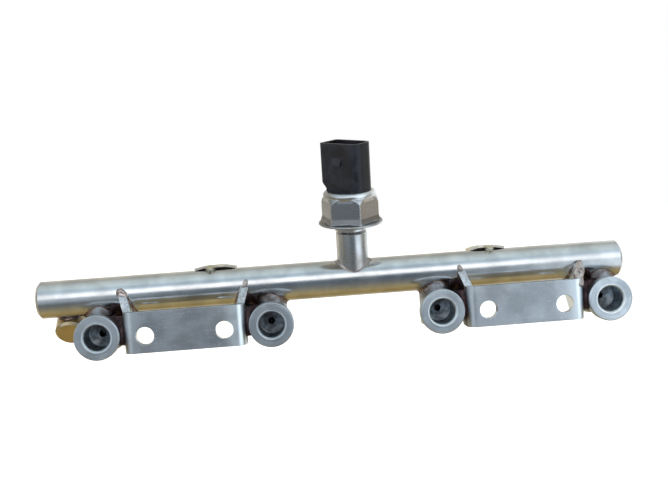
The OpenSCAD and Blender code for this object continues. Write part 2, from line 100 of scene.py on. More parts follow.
class NodePad:
    """Adds nodes to one node tree and links them."""

    def __init__(self, tree: bpy.types.NodeTree) -> None:
        """Starts on a tree, emptied first.

        Args:
            tree: the node tree.
        """
        self.tree = tree
        tree.nodes.clear()
        self.count = 0

    def feed(self, value: Any, socket: Socket) -> None:
        """Links an output to a socket, or sets the socket's own value.

        Args:
            value: a value, or another node's output.
            socket: the input that gets it.
        """
        if isinstance(value, Socket):
            self.tree.links.new(value, socket)
        else:
            socket.default_value = value

    def add(self, kind: str, inputs: dict[Any, Any] | None = None, **settings: Any) -> bpy.types.Node:
        """Adds one node.

        Args:
            kind: the node's type name.
            inputs: socket name or number to a value or to another node's output.
            settings: the node's own properties.

        Returns:
            The new node.
        """
        node = self.tree.nodes.new(kind)
        node.location = (190 * (self.count // 3), -170 * (self.count % 3))
        self.count += 1
        for name, value in settings.items():
            setattr(node, name, value)
        for key, value in (inputs or {}).items():
            self.feed(value, node.inputs[key])
        return node

    def group(self, tree: bpy.types.NodeTree, **inputs: Any) -> Any:
        """Adds a node group, fed by socket name, and returns its outputs."""
        return self.add("ShaderNodeGroup", inputs, node_tree=tree).outputs

    def math(self, how: str, a: Any, b: Any = 0.0, c: Any = 0.0, clamp: bool = False) -> Socket:
        """Adds a Math node and returns its output."""
        return self.add("ShaderNodeMath", {0: a, 1: b, 2: c}, operation=how, use_clamp=clamp).outputs[0]

    def times(self, a: Any, b: Any) -> Socket:
        """Multiplies two values."""
        return self.math("MULTIPLY", a, b)

    def times_add(self, a: Any, b: Any, c: Any, clamp: bool = False) -> Socket:
        """Gives a times b, plus c."""
        return self.math("MULTIPLY_ADD", a, b, c, clamp)

    def vector(self, how: str, a: Any, b: Any) -> Any:
        """Adds a Vector Math node on two vectors and returns its outputs."""
        return self.add("ShaderNodeVectorMath", {0: a, 1: b}, operation=how).outputs

    def scaled(self, vector: Any, factor: Any) -> Socket:
        """Multiplies a vector or a colour by one value."""
        return self.add("ShaderNodeVectorMath", {0: vector, "Scale": factor}, operation="SCALE").outputs[0]

    def split(self, vector: Any) -> Any:
        """Returns the outputs for a vector's x, y and z."""
        return self.add("ShaderNodeSeparateXYZ", {0: vector}).outputs

    def ramp(self, value: Any, low: float, high: float, out_low: float = 0.0,
             out_high: float = 1.0) -> Socket:
        """Maps low..high smoothly onto out_low..out_high and returns the output."""
        inputs = {"Value": value, "From Min": low, "From Max": high, "To Min": out_low, "To Max": out_high}
        return self.add("ShaderNodeMapRange", inputs, interpolation_type="SMOOTHSTEP").outputs["Result"]

    def blend(self, factor: Any, a: Any, b: Any) -> Socket:
        """Mixes two colours and returns the output.

        Args:
            factor: share of the second colour.
            a: the first colour.
            b: the second colour.

        Returns:
            The mixed colour.
        """
        node = self.add("ShaderNodeMix", {"Factor": factor}, data_type="RGBA")
        for socket, value in ((node.inputs[6], a), (node.inputs[7], b)):
            self.feed(value if isinstance(value, Socket) else (*value[:3], 1.0), socket)
        return node.outputs[2]

    def noise(self, vector: Any, scale: Any, detail: float = 3.0, rough: float = 0.5) -> Socket:
        """Adds a Noise Texture and returns its value."""
        inputs = {"Vector": vector, "Scale": scale, "Detail": detail, "Roughness": rough}
        return self.add("ShaderNodeTexNoise", inputs).outputs["Fac"]

    def patches(self, vector: Any, look: Patches) -> Socket:
        """Adds noise shaped into patches."""
        return self.ramp(self.noise(vector, *look[:3]), *look[3:])

    def here(self) -> Socket:
        """Returns the piece's own coordinates, in metres."""
        return self.add("ShaderNodeTexCoord").outputs["Object"]

    def facing(self) -> Socket:
        """Returns how far the true normal points along x."""
        return self.split(self.add("ShaderNodeNewGeometry").outputs["True Normal"])[0]

    def place(self, vector: Any, centre: Vec = (0, 0, 0), turn: Vec = (0, 0, 0)) -> Socket:
        """Gives coordinates in a frame that stands at centre (metres), turned by turn (degrees)."""
        inputs = {"Vector": vector, "Location": centre, "Rotation": tuple(math.radians(t) for t in turn)}
        return self.add("ShaderNodeMapping", inputs, vector_type="TEXTURE").outputs[0]

    def bump(self, height: Any, strength: float, depth_mm: float, normal: Any = None) -> Socket:
        """Adds a Bump node over a normal and returns its normal.

        Args:
            height: the height that is read.
            strength: the bump's strength.
            depth_mm: its depth, in millimetres.
            normal: the normal under it, where it isn't the plain one.

        Returns:
            The bumped normal.
        """
        inputs = {"Strength": strength, "Distance": depth_mm * MM, "Height": height}
        if normal is not None:
            inputs["Normal"] = normal
        return self.add("ShaderNodeBump", inputs).outputs[0]

    def rounded(self, edge_mm: float) -> Socket:
        """Returns the normal with the edges rounded by edge_mm."""
        return self.add("ShaderNodeBevel", {"Radius": edge_mm * MM}, samples=4).outputs[0]

    def show(self, shade: Any, rough: Any, normal: Any, **others: Any) -> None:
        """Ends a material: a Principled shader and the output."""
        inputs = {"Base Color": shade, "Roughness": rough, "Normal": normal, **others}
        self.end(self.add("ShaderNodeBsdfPrincipled", inputs).outputs[0])

    def end(self, shader: Socket) -> None:
        """Joins a shader to the material's output."""
        self.add("ShaderNodeOutputMaterial", {"Surface": shader})


def toned(level: float, colour: Vec) -> Vec:
    """Scales a colour, up to white."""
    return tuple(min(1.0, level * c) for c in colour)


def blank_material(name: str) -> tuple[Material, NodePad]:
    """Makes a material without nodes, and the pad that draws on it.

    Args:
        name: its name.

    Returns:
        The material and its pad.
    """
    material = bpy.data.materials.new(name)
    material.use_nodes = True
    return material, NodePad(material.node_tree)


def group_tree(name: str, inputs: dict[str, Any],
               outputs: tuple[str, ...] = ("Mask",)) -> tuple[NodePad, Any, Any]:
    """Makes an empty shader node group with named sockets.

    Args:
        name: the group's name.
        inputs: socket name to its start value: a number, a vector, or None for a vector without one.
        outputs: names of the outputs, all of them single values.

    Returns:
        The pad to draw on, the group's inputs and its outputs.
    """
    tree = bpy.data.node_groups.new(name, "ShaderNodeTree")
    for label, start in inputs.items():
        kind = "NodeSocketFloat" if isinstance(start, float) else "NodeSocketVector"
        socket = tree.interface.new_socket(label, in_out="INPUT", socket_type=kind)
        if start is not None:
            socket.default_value = start
    for label in outputs:
        tree.interface.new_socket(label, in_out="OUTPUT", socket_type="NodeSocketFloat")
    pad = NodePad(tree)
    return pad, pad.add("NodeGroupInput").outputs, pad.add("NodeGroupOutput").inputs


class Effects:
    """The shader node groups that several finishes share."""

    def __init__(self) -> None:
        """Builds each group once."""
        self.grain = self.make_grain()
        self.rings = self.make_rings()
        self.smudge = self.make_smudge()
        self.edge = self.make_edge()
        self.heat = self.make_heat()

    def make_grain(self) -> bpy.types.NodeTree:
        """Long fine streaks: noise whose coordinates are squeezed by Stretch.

        Returns:
            The group.
        """
        pad, start, end = group_tree(
            "drawn_grain", {"Vector": None, "Stretch": (0.03, 1, 1), "Density": 4000.0}, ("Height",)
        )
        squeezed = pad.vector("MULTIPLY", start["Vector"], start["Stretch"])[0]
        pad.feed(pad.noise(squeezed, start["Density"], 4.0, 0.6), end["Height"])
        return pad.tree

    def make_rings(self) -> bpy.types.NodeTree:
        """Turned rings: noise read along the radius and the axis alone, so it's the same all round.

        Returns:
            The group.
        """
        pad, start, end = group_tree(
            "turned_rings", {"Vector": None, "Density": 3500.0}, ("Height", "Radius", "Depth")
        )
        x, y, z = pad.split(start["Vector"])
        radius = pad.math("SQRT", pad.math("ADD", pad.times(x, x), pad.times(y, y)))
        flat = pad.add("ShaderNodeCombineXYZ", {0: radius, 1: z, 2: 0.0}).outputs[0]
        pad.feed(pad.noise(flat, start["Density"], 4.0, 0.65), end["Height"])
        pad.feed(radius, end["Radius"])
        pad.feed(z, end["Depth"])
        return pad.tree

    def make_smudge(self) -> bpy.types.NodeTree:
        """Handling marks: broad noise bent by a second noise, with more contrast.

        Returns:
            The group.
        """
        pad, start, end = group_tree("smudge", {"Vector": None, "Scale": 60.0})
        shift = pad.scaled(pad.noise(start["Vector"], start["Scale"], 2.0), 0.015)
        moved = pad.vector("ADD", start["Vector"], shift)[0]
        pad.feed(pad.ramp(pad.noise(moved, start["Scale"], 5.0, 0.6), *MOST_NOISE), end["Mask"])
        return pad.tree

    def make_edge(self) -> bpy.types.NodeTree:
        """Worn edges, also the mask of the painted edge highlight on steel: how far the rounded normal leans
        from the plain one.

        Returns:
            The group.
        """
        pad, start, end = group_tree("edge_wear_and_highlight", {"Rounded": None, "Vector": None})
        plain = pad.add("ShaderNodeNewGeometry").outputs["Normal"]
        lean = pad.vector("DOT_PRODUCT", start["Rounded"], plain)["Value"]
        worn = pad.ramp(lean, *WEAR_LEAN)
        pad.feed(pad.times(worn, pad.patches(start["Vector"], WORN_BREAKS)), end["Mask"])
        return pad.tree

    def make_heat(self) -> bpy.types.NodeTree:
        """Heat tint round a brazed joint: fades with the distance from Centre, uneven at its edge.

        Returns:
            The group.
        """
        pad, start, end = group_tree(
            "heat_tint", {"Vector": None, "Centre": None, "Reach": 0.012, "Soft": 0.006}
        )
        gap = pad.vector("DISTANCE", start["Vector"], start["Centre"])["Value"]
        uneven = pad.times_add(pad.noise(start["Vector"], 180.0, 4.0), HEAT_UNEVEN, -HEAT_UNEVEN / 2)
        past = pad.math("SUBTRACT", pad.math("ADD", gap, uneven), start["Reach"])
        past = pad.math("DIVIDE", past, start["Soft"])
        pad.feed(pad.math("SUBTRACT", 1.0, past, clamp=True), end["Mask"])
        return pad.tree


# ---------------------------------------------------------------- finishes


class Grain(Enum):
    """How a steel surface was made: the stretch of its fine lines, where they aren't rings."""

    DRAWN = (0.02, 1, 1)
    TURNED = None
    ROLLED = (0.7, 1, 1)


class Joint(NamedTuple):
    """A place with heat tint, in millimetres: its middle, how far it reaches and how softly it ends."""

    x: float
    y: float
    z: float
    reach: float
    soft: float


class Zone(NamedTuple):
    """A ring about a piece's own axis, in millimetres, where the colour is scaled by level: painted shade
    below 1, painted light above 1.
    """

    inner: float
    outer: float
    low: float
    high: float
    level: float


FLANK_PAINTED_SHADE: Vec = (0.055, 0.040, 0.036)
FLANK_FACING = (0.90, 0.995)


def looks_away(pad: NodePad, place: Socket, middle: float) -> tuple[Socket, Socket]:
    """Gives the distance along the rail from middle (mm) and how far the normal points away from there."""
    away = pad.math("SUBTRACT", pad.split(place)[0], middle * MM)
    return away, pad.times(pad.facing(), pad.math("SIGN", away))


@dataclass(frozen=True)
class SheetLight:
    """The painted light on a bent bracket: painted highlights on its bends, inner faces and tongues.

    middle and shoulder, in millimetres, are its place along the rail and the height above
    which its tongues start. level scales the colour there.
    """

    middle: float
    shoulder: float
    level: float
    bend_mm: tuple[float, float] = (19.0, 28.0)
    blur_mm: float = 0.4
    inner_facing: tuple[float, float] = (-0.7, -0.95)
    bend_facing: tuple[float, float] = (0.04, 0.26)
    left_share: float = 0.35
    strength: float = 0.85

    def shade(self, pad: NodePad, place: Socket, shade: Socket, colour: Vec) -> Socket:
        """Paints highlights on the faces that look towards the middle, on the bends and, in speckles, on the
        tongues.

        The normal points away from the middle on the ears' outer faces, towards it on their inner faces, and
        lies between the two on the bends. The painted bend highlight fades in from bend_mm, up to the
        shoulder, and is weaker on the left.

        Args:
            pad: draws the material's nodes.
            place: the piece's own coordinates, in metres.
            shade: the colour so far.
            colour: the finish's main colour.

        Returns:
            The new colour.
        """
        away, outward = looks_away(pad, place, self.middle)
        height = pad.split(place)[2]
        inner = pad.ramp(outward, *self.inner_facing)
        beside = pad.ramp(pad.math("ABSOLUTE", away), *(MM * b for b in self.bend_mm), 0.0, self.strength)
        below = pad.ramp(height, (self.shoulder + self.blur_mm) * MM, (self.shoulder - self.blur_mm) * MM)
        bend = pad.math("MAXIMUM", pad.ramp(outward, *self.bend_facing), pad.times(beside, below))
        bend = pad.times(bend, pad.ramp(away, -0.02, 0.02, self.left_share, 1.0))
        tongue = pad.ramp(height, self.shoulder * MM, (self.shoulder + 1.0) * MM)
        bright = pad.math("MAXIMUM", pad.times(tongue, pad.patches(place, TONGUE_HIGHLIGHT_SPECKLE)), bend)
        not_flank = pad.math("SUBTRACT", 1.0, pad.ramp(outward, *FLANK_FACING))
        bright = pad.math("MAXIMUM", inner, pad.times(bright, not_flank))
        return pad.blend(pad.times(bright, self.strength), shade, toned(self.level, colour))


@dataclass(frozen=True)
class SteelFinish:
    """Bare or plated steel with fine lines, smudges, worn edges with a painted highlight, heat tint, and
    painted light and shade.

    clouds is how far broad patches lighten and darken it; sides are the levels of painted light and shade on
    faces that look left and right; flank is (x, strength), which paints shade on faces that look away from x
    along the rail; zones paint light and shade about the piece's own axis.
    """

    name: str
    grain: Grain
    colour: Vec = (0.60, 0.62, 0.64)
    dull: Vec = (0.47, 0.48, 0.50)
    roughness: float = 0.3
    uneven: float = 0.1
    lines: float = 0.12
    edge_mm: float = 0.25
    centre_mm: Vec = (0, 0, 0)
    turn: Vec = (0, 0, 0)
    density: float = 3500.0
    heat_colour: Vec = (0.30, 0.20, 0.13)
    heat: float = 0.7
    joints: tuple[Joint, ...] = ()
    relief: float = 0.007
    edge_light: float = 0.5
    scratches: float = 0.0
    clouds: float = 0.0
    sides: tuple[float, float] | None = None
    flank: tuple[float, float] | None = None
    sheet: SheetLight | None = None
    zones: tuple[Zone, ...] = ()

    def build(self, fx: Effects) -> Material:
        """Makes the material.

        Args:
            fx: the shared node groups.

        Returns:
            The finished material.
        """
        mat, pad = blank_material(self.name)
        place = pad.here()
        own = pad.place(place, tuple(MM * c for c in self.centre_mm), self.turn)
        if self.grain is Grain.TURNED:
            fine = pad.group(fx.rings, Vector=own, Density=self.density)
        else:
            fine = pad.group(fx.grain, Vector=own, Density=self.density, Stretch=self.grain.value)
        line = fine["Height"]
        mask = pad.group(fx.smudge, Vector=place)["Mask"]
        rounded = pad.rounded(self.edge_mm)
        worn = pad.group(fx.edge, Rounded=rounded, Vector=place)["Mask"]
        shade = pad.blend(pad.times(mask, DULL_SHARE), self.colour, self.dull)
        shade = pad.scaled(shade, pad.times_add(line, self.lines * 2, 1.0 - self.lines))
        shade = self.clouds_scratches_and_side_light(pad, place, shade)
        # painted light and shade in the zones about the piece's axis
        shade = self.zone_light(pad, place, fine, shade)
        rough = pad.times_add(mask, self.uneven, self.roughness - self.uneven / 2)
        rough = pad.times_add(line, LINE_ROUGH, pad.math("SUBTRACT", rough, LINE_ROUGH / 2), clamp=True)
        if self.joints:
            tint = self.heat_tint(pad, place, fx)
            shade = pad.blend(tint, shade, self.heat_colour)
            rough = pad.times_add(tint, TINT_ROUGH, rough, clamp=True)
        # worn edges lightened: rubbed wear together with a painted edge highlight
        shade = pad.blend(pad.times(worn, self.edge_light), shade, toned(WORN_EDGE_HIGHLIGHT_TONE, self.colour))
        # painted shade on faces that look away from the flank's x, in the gaps beside the ears
        if self.flank:
            middle, strength = self.flank
            facing = pad.ramp(looks_away(pad, place, middle)[1], *FLANK_FACING)
            shade = pad.blend(pad.times(facing, strength), shade, FLANK_PAINTED_SHADE)
        # painted highlights on a bracket's bends, inner faces and tongues
        if self.sheet:
            shade = self.sheet.shade(pad, place, shade, self.colour)
        pad.show(shade, rough, pad.bump(line, 1.0, self.relief, rounded), Metallic=1.0)
        return mat

    def clouds_scratches_and_side_light(self, pad: NodePad, place: Socket, shade: Socket) -> Socket:
        """Shades the colour by random clouds, by painted light and shade on faces that look left and right,
        and by scratches.

        Args:
            pad: draws the material's nodes.
            place: the piece's own coordinates, in metres.
            shade: the colour so far.

        Returns:
            The new colour.
        """
        if self.clouds:
            cloud = Patches(CLOUD_SCALE, 2.0, low=1.0 - self.clouds, high=1.0 + self.clouds)
            shade = pad.scaled(shade, pad.patches(place, cloud))
        # painted light and shade: faces that look left and right get their own levels
        if self.sides:
            shade = pad.scaled(shade, pad.ramp(pad.facing(), -SIDE_FACING, SIDE_FACING, *self.sides))
        if self.scratches:
            thin = pad.patches(pad.place(place, turn=(0, 33, 0)), THIN_SCRATCHES)
            long = pad.patches(pad.vector("MULTIPLY", place, (120, 120, 900))[0], SCRATCH_LENGTHS)
            marks = pad.times(pad.times(thin, long), self.scratches)
            shade = pad.blend(marks, shade, (0.92, 0.94, 0.97))
        return shade

    def zone_light(self, pad: NodePad, place: Socket, fine: Any, shade: Socket) -> Socket:
        """Paints light and shade: scales the colour in each zone by its level, in streaks where the zone lies
        inside a bore.

        Args:
            pad: draws the material's nodes.
            place: the piece's own coordinates, in metres.
            fine: the outputs of the group of fine lines.
            shade: the colour so far.

        Returns:
            The new colour.
        """
        soft = 0.2
        for zone in self.zones:
            masks = []
            for name, low, high in (("Radius", zone.inner, zone.outer), ("Depth", zone.low, zone.high)):
                masks.append(pad.times(pad.ramp(fine[name], (low - soft) * MM, low * MM),
                                       pad.ramp(fine[name], (high + soft) * MM, high * MM)))
            change: Any = zone.level - 1.0
            if zone.high <= 0:
                change = pad.times_add(pad.patches(place, BORE_SHADE_STREAKS), zone.level, -1.0)
            shade = pad.scaled(shade, pad.times_add(pad.times(*masks), change, 1.0))
        return shade

    def heat_tint(self, pad: NodePad, place: Socket, fx: Effects) -> Socket:
        """Gives how strongly the joints' heat has tinted each spot.

        Args:
            pad: draws the material's nodes.
            place: the piece's own coordinates, in metres.
            fx: the shared node groups.

        Returns:
            The tint's share of the colour.
        """
        most: Any = 0.0
        for joint in self.joints:
            spot = pad.group(
                fx.heat, Vector=place, Centre=tuple(MM * c for c in joint[:3]),
                Reach=joint.reach * MM, Soft=joint.soft * MM,
            )
            most = pad.math("MAXIMUM", most, spot["Mask"])
        return pad.times(pad.times(most, pad.patches(place, HEAT_PATCHES)), self.heat)


@dataclass(frozen=True)
class BrazeFinish:
    """Brazing copper after the furnace: brown and maroon, duller where the flux burnt."""

    name: str
    bright: Vec = (0.34, 0.25, 0.21)
    dark: Vec = (0.085, 0.058, 0.052)
    grey: Vec = (0.46, 0.45, 0.44)
    patches: float = 0.55

    def build(self, fx: Effects) -> Material:
        """Makes the material.

        Args:
            fx: the shared node groups.

        Returns:
            The finished material.
        """
        mat, pad = blank_material(self.name)
        place = pad.here()
        burnt = pad.group(fx.smudge, Vector=place, Scale=240.0)["Mask"]
        shade = pad.blend(burnt, self.bright, self.dark)
        shade = pad.blend(pad.times(pad.patches(place, GREY_BRAZE), self.patches), shade, self.grey)
        rough = pad.times_add(burnt, 0.22, 0.34)
        pad.show(shade, rough, pad.bump(pad.noise(place, 900.0), 0.4, 0.12), Metallic=0.85)
        return mat


@dataclass(frozen=True)
class PlasticFinish:
    """Moulded plastic: even colour, fine spark-eroded texture, dust and rubbed edges."""

    name: str
    colour: Vec = (0.008, 0.009, 0.013)
    dusty: Vec = (0.036, 0.042, 0.058)
    roughness: float = 0.40
    gloss: float = 0.35

    def build(self, fx: Effects) -> Material:
        """Makes the material.

        Args:
            fx: the shared node groups.

        Returns:
            The finished material.
        """
        mat, pad = blank_material(self.name)
        place = pad.here()
        dust = pad.group(fx.smudge, Vector=place, Scale=110.0)["Mask"]
        rounded = pad.rounded(0.35)
        worn = pad.group(fx.edge, Rounded=rounded, Vector=place)["Mask"]
        shade = pad.blend(pad.times(dust, 0.3), self.colour, self.dusty)
        shade = pad.blend(pad.times(worn, 0.5), shade, self.dusty)
        rough = pad.times_add(dust, 0.14, self.roughness - 0.05)
        pits = pad.bump(pad.noise(place, 5200.0, 2.0), 0.25, 0.03, rounded)
        pad.show(shade, rough, pits, **{"Specular IOR Level": self.gloss})
        return mat


# ---------------------------------------------------------------- meshes


def circle(steps: int) -> np.ndarray:
    """Angles all the way round, in equal steps."""
    return np.linspace(0, 2 * np.pi, steps, endpoint=False)


def xyz(x: Any, y: Any, z: Any) -> np.ndarray:
    """Points whose coordinates are given apart and fill up one shape."""
    return np.stack(np.broadcast_arrays(x, y, z), axis=-1)


def grid_faces(rows: int, columns: int, wrap: bool) -> np.ndarray:
    """Quads of a grid whose columns always close; the rows close too where wrap is true.

    Args:
        rows: number of sections.
        columns: number of points in each closed section.
        wrap: True where the last section meets the first.

    Returns:
        One row of four vertex numbers for each quad.
    """
    i = np.arange(rows if wrap else rows - 1)[:, None]
    j = np.arange(columns)[None, :]
    following, beside = (i + 1) % rows, (j + 1) % columns
    corners = [i * columns + j, i * columns + beside, following * columns + beside, following * columns + j]
    return np.stack([c.ravel() for c in np.broadcast_arrays(*corners)], axis=1)


def shell(sections: np.ndarray, wrap: bool) -> tuple[np.ndarray, list[list[int]]]:
    """A closed shell through closed sections, its ends fanned to their middles unless it wraps.

    Args:
        sections: array of sections, points and xyz, in millimetres.
        wrap: True for a ring.

    Returns:
        Vertices in millimetres and the faces.
    """
    rows, columns, _ = sections.shape
    points = sections.reshape(-1, 3)
    faces = grid_faces(rows, columns, wrap).tolist()
    if not wrap:
        middles = np.stack([sections[0].mean(axis=0), sections[-1].mean(axis=0)])
        first = np.arange(columns)
        last = first + (rows - 1) * columns
        turned = np.roll(first, -1)
        top, bottom = len(points) + 1, len(points)
        faces += np.stack([turned, first, np.full(columns, bottom)], axis=1).tolist()
        faces += np.stack([last, np.roll(last, -1), np.full(columns, top)], axis=1).tolist()
        points = np.concatenate([points, middles])
    return points, faces


def put_object(name: str, data: Any) -> bpy.types.Object:
    """Makes an object of the data and links it to the scene.

    Args:
        name: its name.
        data: its mesh, lamp or camera data.

    Returns:
        The object.
    """
    thing = bpy.data.objects.new(name, data)
    bpy.context.scene.collection.objects.link(thing)
    return thing


def put_stage(name: str, points: np.ndarray, faces: list[list[int]], material: Material) -> bpy.types.Object:
    """Makes an object of the studio.

    Args:
        name: its name.
        points: the points, in metres.
        faces: the faces.
        material: its finish.

    Returns:
        The object.
    """
    mesh = bpy.data.meshes.new(name)
    mesh.from_pydata(points.tolist(), [], faces)
    mesh.materials.append(material)
    thing = put_object(name, mesh)
    return thing


def enter(name: str, mesh: bpy.types.Mesh, material: Material, stands_for: str | None,
          sharp: float) -> None:
    """Puts a mesh in the scene as a piece of the model, smooth apart from its sharp edges.

    Args:
        name: the piece's name.
        mesh: its mesh, in metres.
        material: its finish.
        stands_for: the CAD node that it replaces, if any.
        sharp: angle in degrees from which an edge stays sharp.
    """
    mesh.shade_smooth()
    mesh.set_sharp_from_angle(angle=math.radians(sharp))
    mesh.materials.clear()
    mesh.materials.append(material)
    piece = put_object(name, mesh)
    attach(piece, "root")
    if stands_for:
        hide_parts(stands_for)
    log.info("%s: %d faces", name, len(mesh.polygons))


def put_piece(name: str, shells: list[tuple[np.ndarray, list[list[int]]]], material: Material,
              stands_for: str | None = None, sharp: float = 50.0) -> None:
    """Joins shells into one piece.

    Args:
        name: the piece's name.
        shells: vertices in millimetres and faces of each shell.
        material: its finish.
        stands_for: the CAD node that it replaces, if any.
        sharp: angle in degrees from which an edge stays sharp.
    """
    mesh = bpy.data.meshes.new(name)
    starts = np.cumsum([0] + [len(points) for points, _ in shells])
    points = np.concatenate([p for p, _ in shells]) * MM
    faces = [[v + int(s) for v in face] for (_, part), s in zip(shells, starts) for face in part]
    mesh.from_pydata(points.tolist(), [], faces)
    work = bmesh.new()
    work.from_mesh(mesh)
    bmesh.ops.recalc_face_normals(work, faces=work.faces)
    work.to_mesh(mesh)
    work.free()
    enter(name, mesh, material, stands_for, sharp)


def put_copy(name: str, node: str, move: Callable[[np.ndarray], np.ndarray], material: Material) -> None:
    """Replaces a sheet node by a merged copy of its mesh with moved points.

    Args:
        name: the copy's name.
        node: the CAD node that it replaces.
        move: gives the new points, in metres, for the old ones.
        material: its finish.
    """
    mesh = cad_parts[node].data.copy()
    work = bmesh.new()
    work.from_mesh(mesh)
    bmesh.ops.remove_doubles(work, verts=work.verts, dist=1e-6)
    work.to_mesh(mesh)
    work.free()
    points = np.empty(len(mesh.vertices) * 3)
    mesh.vertices.foreach_get("co", points)
    mesh.vertices.foreach_set("co", move(points.reshape(-1, 3)).ravel())
    mesh.update()
    enter(name, mesh, material, node, 30.0)


def bead_section(centre: np.ndarray, first: np.ndarray, second: np.ndarray, steps: int = 9) -> np.ndarray:
    """Sections of a hollow fillet: an arc round centre from first to second, closed through the corner.

    The arc's directions turn evenly from one contact to the other. The last point lies
    where the two tangent planes meet, pushed further in, so that it is buried.

    Args:
        centre: the ball's centres.
        first: where the ball touches the one surface.
        second: where it touches the other.
        steps: number of points on the arc.

    Returns:
        The closed sections.
    """
    buried = 0.25
    radius = np.linalg.norm(first - centre, axis=-1, keepdims=True)
    a, b = (first - centre) / radius, (second - centre) / radius
    angle = np.arccos(np.clip((a * b).sum(axis=-1), -1, 1))[:, None, None]
    t = np.linspace(0, 1, steps)[None, :, None]
    turning = (np.sin((1 - t) * angle) * a[:, None] + np.sin(t * angle) * b[:, None]) / np.sin(angle)
    arc = centre[:, None] + radius[:, None] * turning
    middle = (a + b) / np.linalg.norm(a + b, axis=-1, keepdims=True)
    corner = centre + middle * (radius / np.cos(angle[:, 0] / 2) + buried)
    return np.concatenate([arc, corner[:, None]], axis=1)


# ---------------------------------------------------------------- sub-assemblies


@dataclass
class RailTube:
    """The drawn tube; its sizes in millimetres are shared by everything brazed to it."""

    back: float = 21.0
    height: float = 20.7
    radius: float = 10.0

    def axis_point(self, x: float = 0.0) -> np.ndarray:
        """A point on the tube's axis."""
        return np.array([x, self.back, self.height])

    def around(self, x: np.ndarray, angle: np.ndarray, radius: np.ndarray | float) -> np.ndarray:
        """Points at a distance from the axis; the angle is 0 at the front and grows upwards."""
        return xyz(x, self.back - radius * np.cos(angle), self.height + radius * np.sin(angle))


@dataclass
class BossFillets:
    """Brazed fillets where an upright or leaning boss meets the tube."""

    tube: RailTube
    steps: int = 144

    def ring(self, x: float, lean: float, boss: float, size: float, offset: float = 0.0,
             seed: float = 0.0) -> np.ndarray:
        """Sections of a fillet that a ball of the given size would leave between boss and tube.

        The ball's centre stays one ball radius off both cylinders: it circles the boss's
        axis at their summed radius, and its height along that axis follows from its
        distance to the tube's axis. The size swells a little round the ring.

        Args:
            x: where the boss stands along the rail.
            lean: angle of the boss's axis from straight up, towards the front, in degrees.
            boss: the boss's radius.
            size: the ball's radius.
            offset: distance of the boss's axis from the tube's, for a boss beside the tube.
            seed: shifts the swelling.

        Returns:
            Closed sections of the ring.
        """
        t = circle(self.steps)
        ball = size * (1 + 0.10 * np.sin(3 * t + seed) + 0.07 * np.sin(7 * t + 2 * seed))
        tilt = math.radians(lean)
        along = np.array([0, -math.sin(tilt), math.cos(tilt)])
        side = np.array([0, math.cos(tilt), math.sin(tilt)])
        out = self.tube.radius + ball
        reach = boss + ball
        if offset:
            turn = np.arccos((offset - reach) / out) * np.sin(t)
            across = offset - out * np.cos(turn)
            run = np.sqrt(np.maximum(reach**2 - across**2, 0)) * np.sign(np.cos(t))
            rise = out * np.sin(turn)
            foot = self.tube.axis_point(x) + side * offset
            side = -side
        else:
            run, across = reach * np.cos(t), reach * np.sin(t)
            rise = np.sqrt(out**2 - across**2)
            foot = self.tube.axis_point(x)
        on_axis = foot + rise[:, None] * along
        away = run[:, None] * np.array([1.0, 0, 0]) + across[:, None] * side
        centre = on_axis + away
        boss_touch = on_axis + away * (boss / reach)[:, None]
        beside = self.tube.axis_point() + centre * np.array([1.0, 0, 0])
        tube_touch = beside + (centre - beside) * (self.tube.radius / out)[:, None]
        return bead_section(centre, boss_touch, tube_touch)


@dataclass
class InjectorCups:
    """Four turned cups: their brazed joints and their finish."""

    tube: RailTube
    pitch: float = 91.0
    rise: float = 0.9
    body: float = 8.9
    bead: float = 1.9
    # painted light: each cup's colour level, by how it is lit
    cup_light_level: tuple[float, float, float, float] = (1.0, 0.93, 1.12, 1.27)
    zones: tuple[Zone, ...] = (
        Zone(-1, 6.6, -22, 0.0, 0.45),  # painted shade in the conical bottom
        Zone(-1, 2.2, -28.5, -18.5, 0.12),  # painted shade in the drilling
        Zone(6.85, 6.9, -22, 0.0, 1.4),  # painted light on the bore's wall
        Zone(6.95, 7.8, 0.0, 1.2, 1.75),  # painted highlight on the mouth's bevel
    )

    def x(self, i: int) -> float:
        """Place of cup i along the rail, counted from the left."""
        return (i - 1.5) * self.pitch

    def build(self, fillets: BossFillets, copper: Material) -> None:
        """Makes the fillets between the cups' upright bodies and the tube."""
        rings = [fillets.ring(self.x(i), 180.0, self.body, self.bead, seed=1.7 * i) for i in range(4)]
        put_piece("cup_fillets", [shell(r, True) for r in rings], copper, "cup_brazing")

    def dress(self, fx: Effects) -> None:
        """Gives each cup rings about its own axis, its own level of painted light, painted shade on its outer
        flank and heat tint by the tube.

        Args:
            fx: the shared node groups.
        """
        for i, cup_light_level in enumerate(self.cup_light_level):
            x = self.x(i)
            finish = SteelFinish(
                f"turned_cup_{i + 1}", Grain.TURNED, colour=toned(cup_light_level, (0.47, 0.52, 0.57)),
                dull=toned(cup_light_level, (0.33, 0.36, 0.39)), clouds=0.12, roughness=0.34,
                uneven=0.12, lines=0.30, edge_mm=0.55, edge_light=0.9, centre_mm=(x, 0, self.rise),
                turn=(90, 0, 0), density=1700.0, relief=0.20, joints=(Joint(x, 17.0, 12.5, 7.5, 5.0),),
                heat=0.85, heat_colour=(0.13, 0.095, 0.085), flank=(x + (60 if i % 2 else -60), 0.3),
                zones=self.zones,
            )
            dress_node(f"injector_cup_{i + 1}", finish.build(fx))


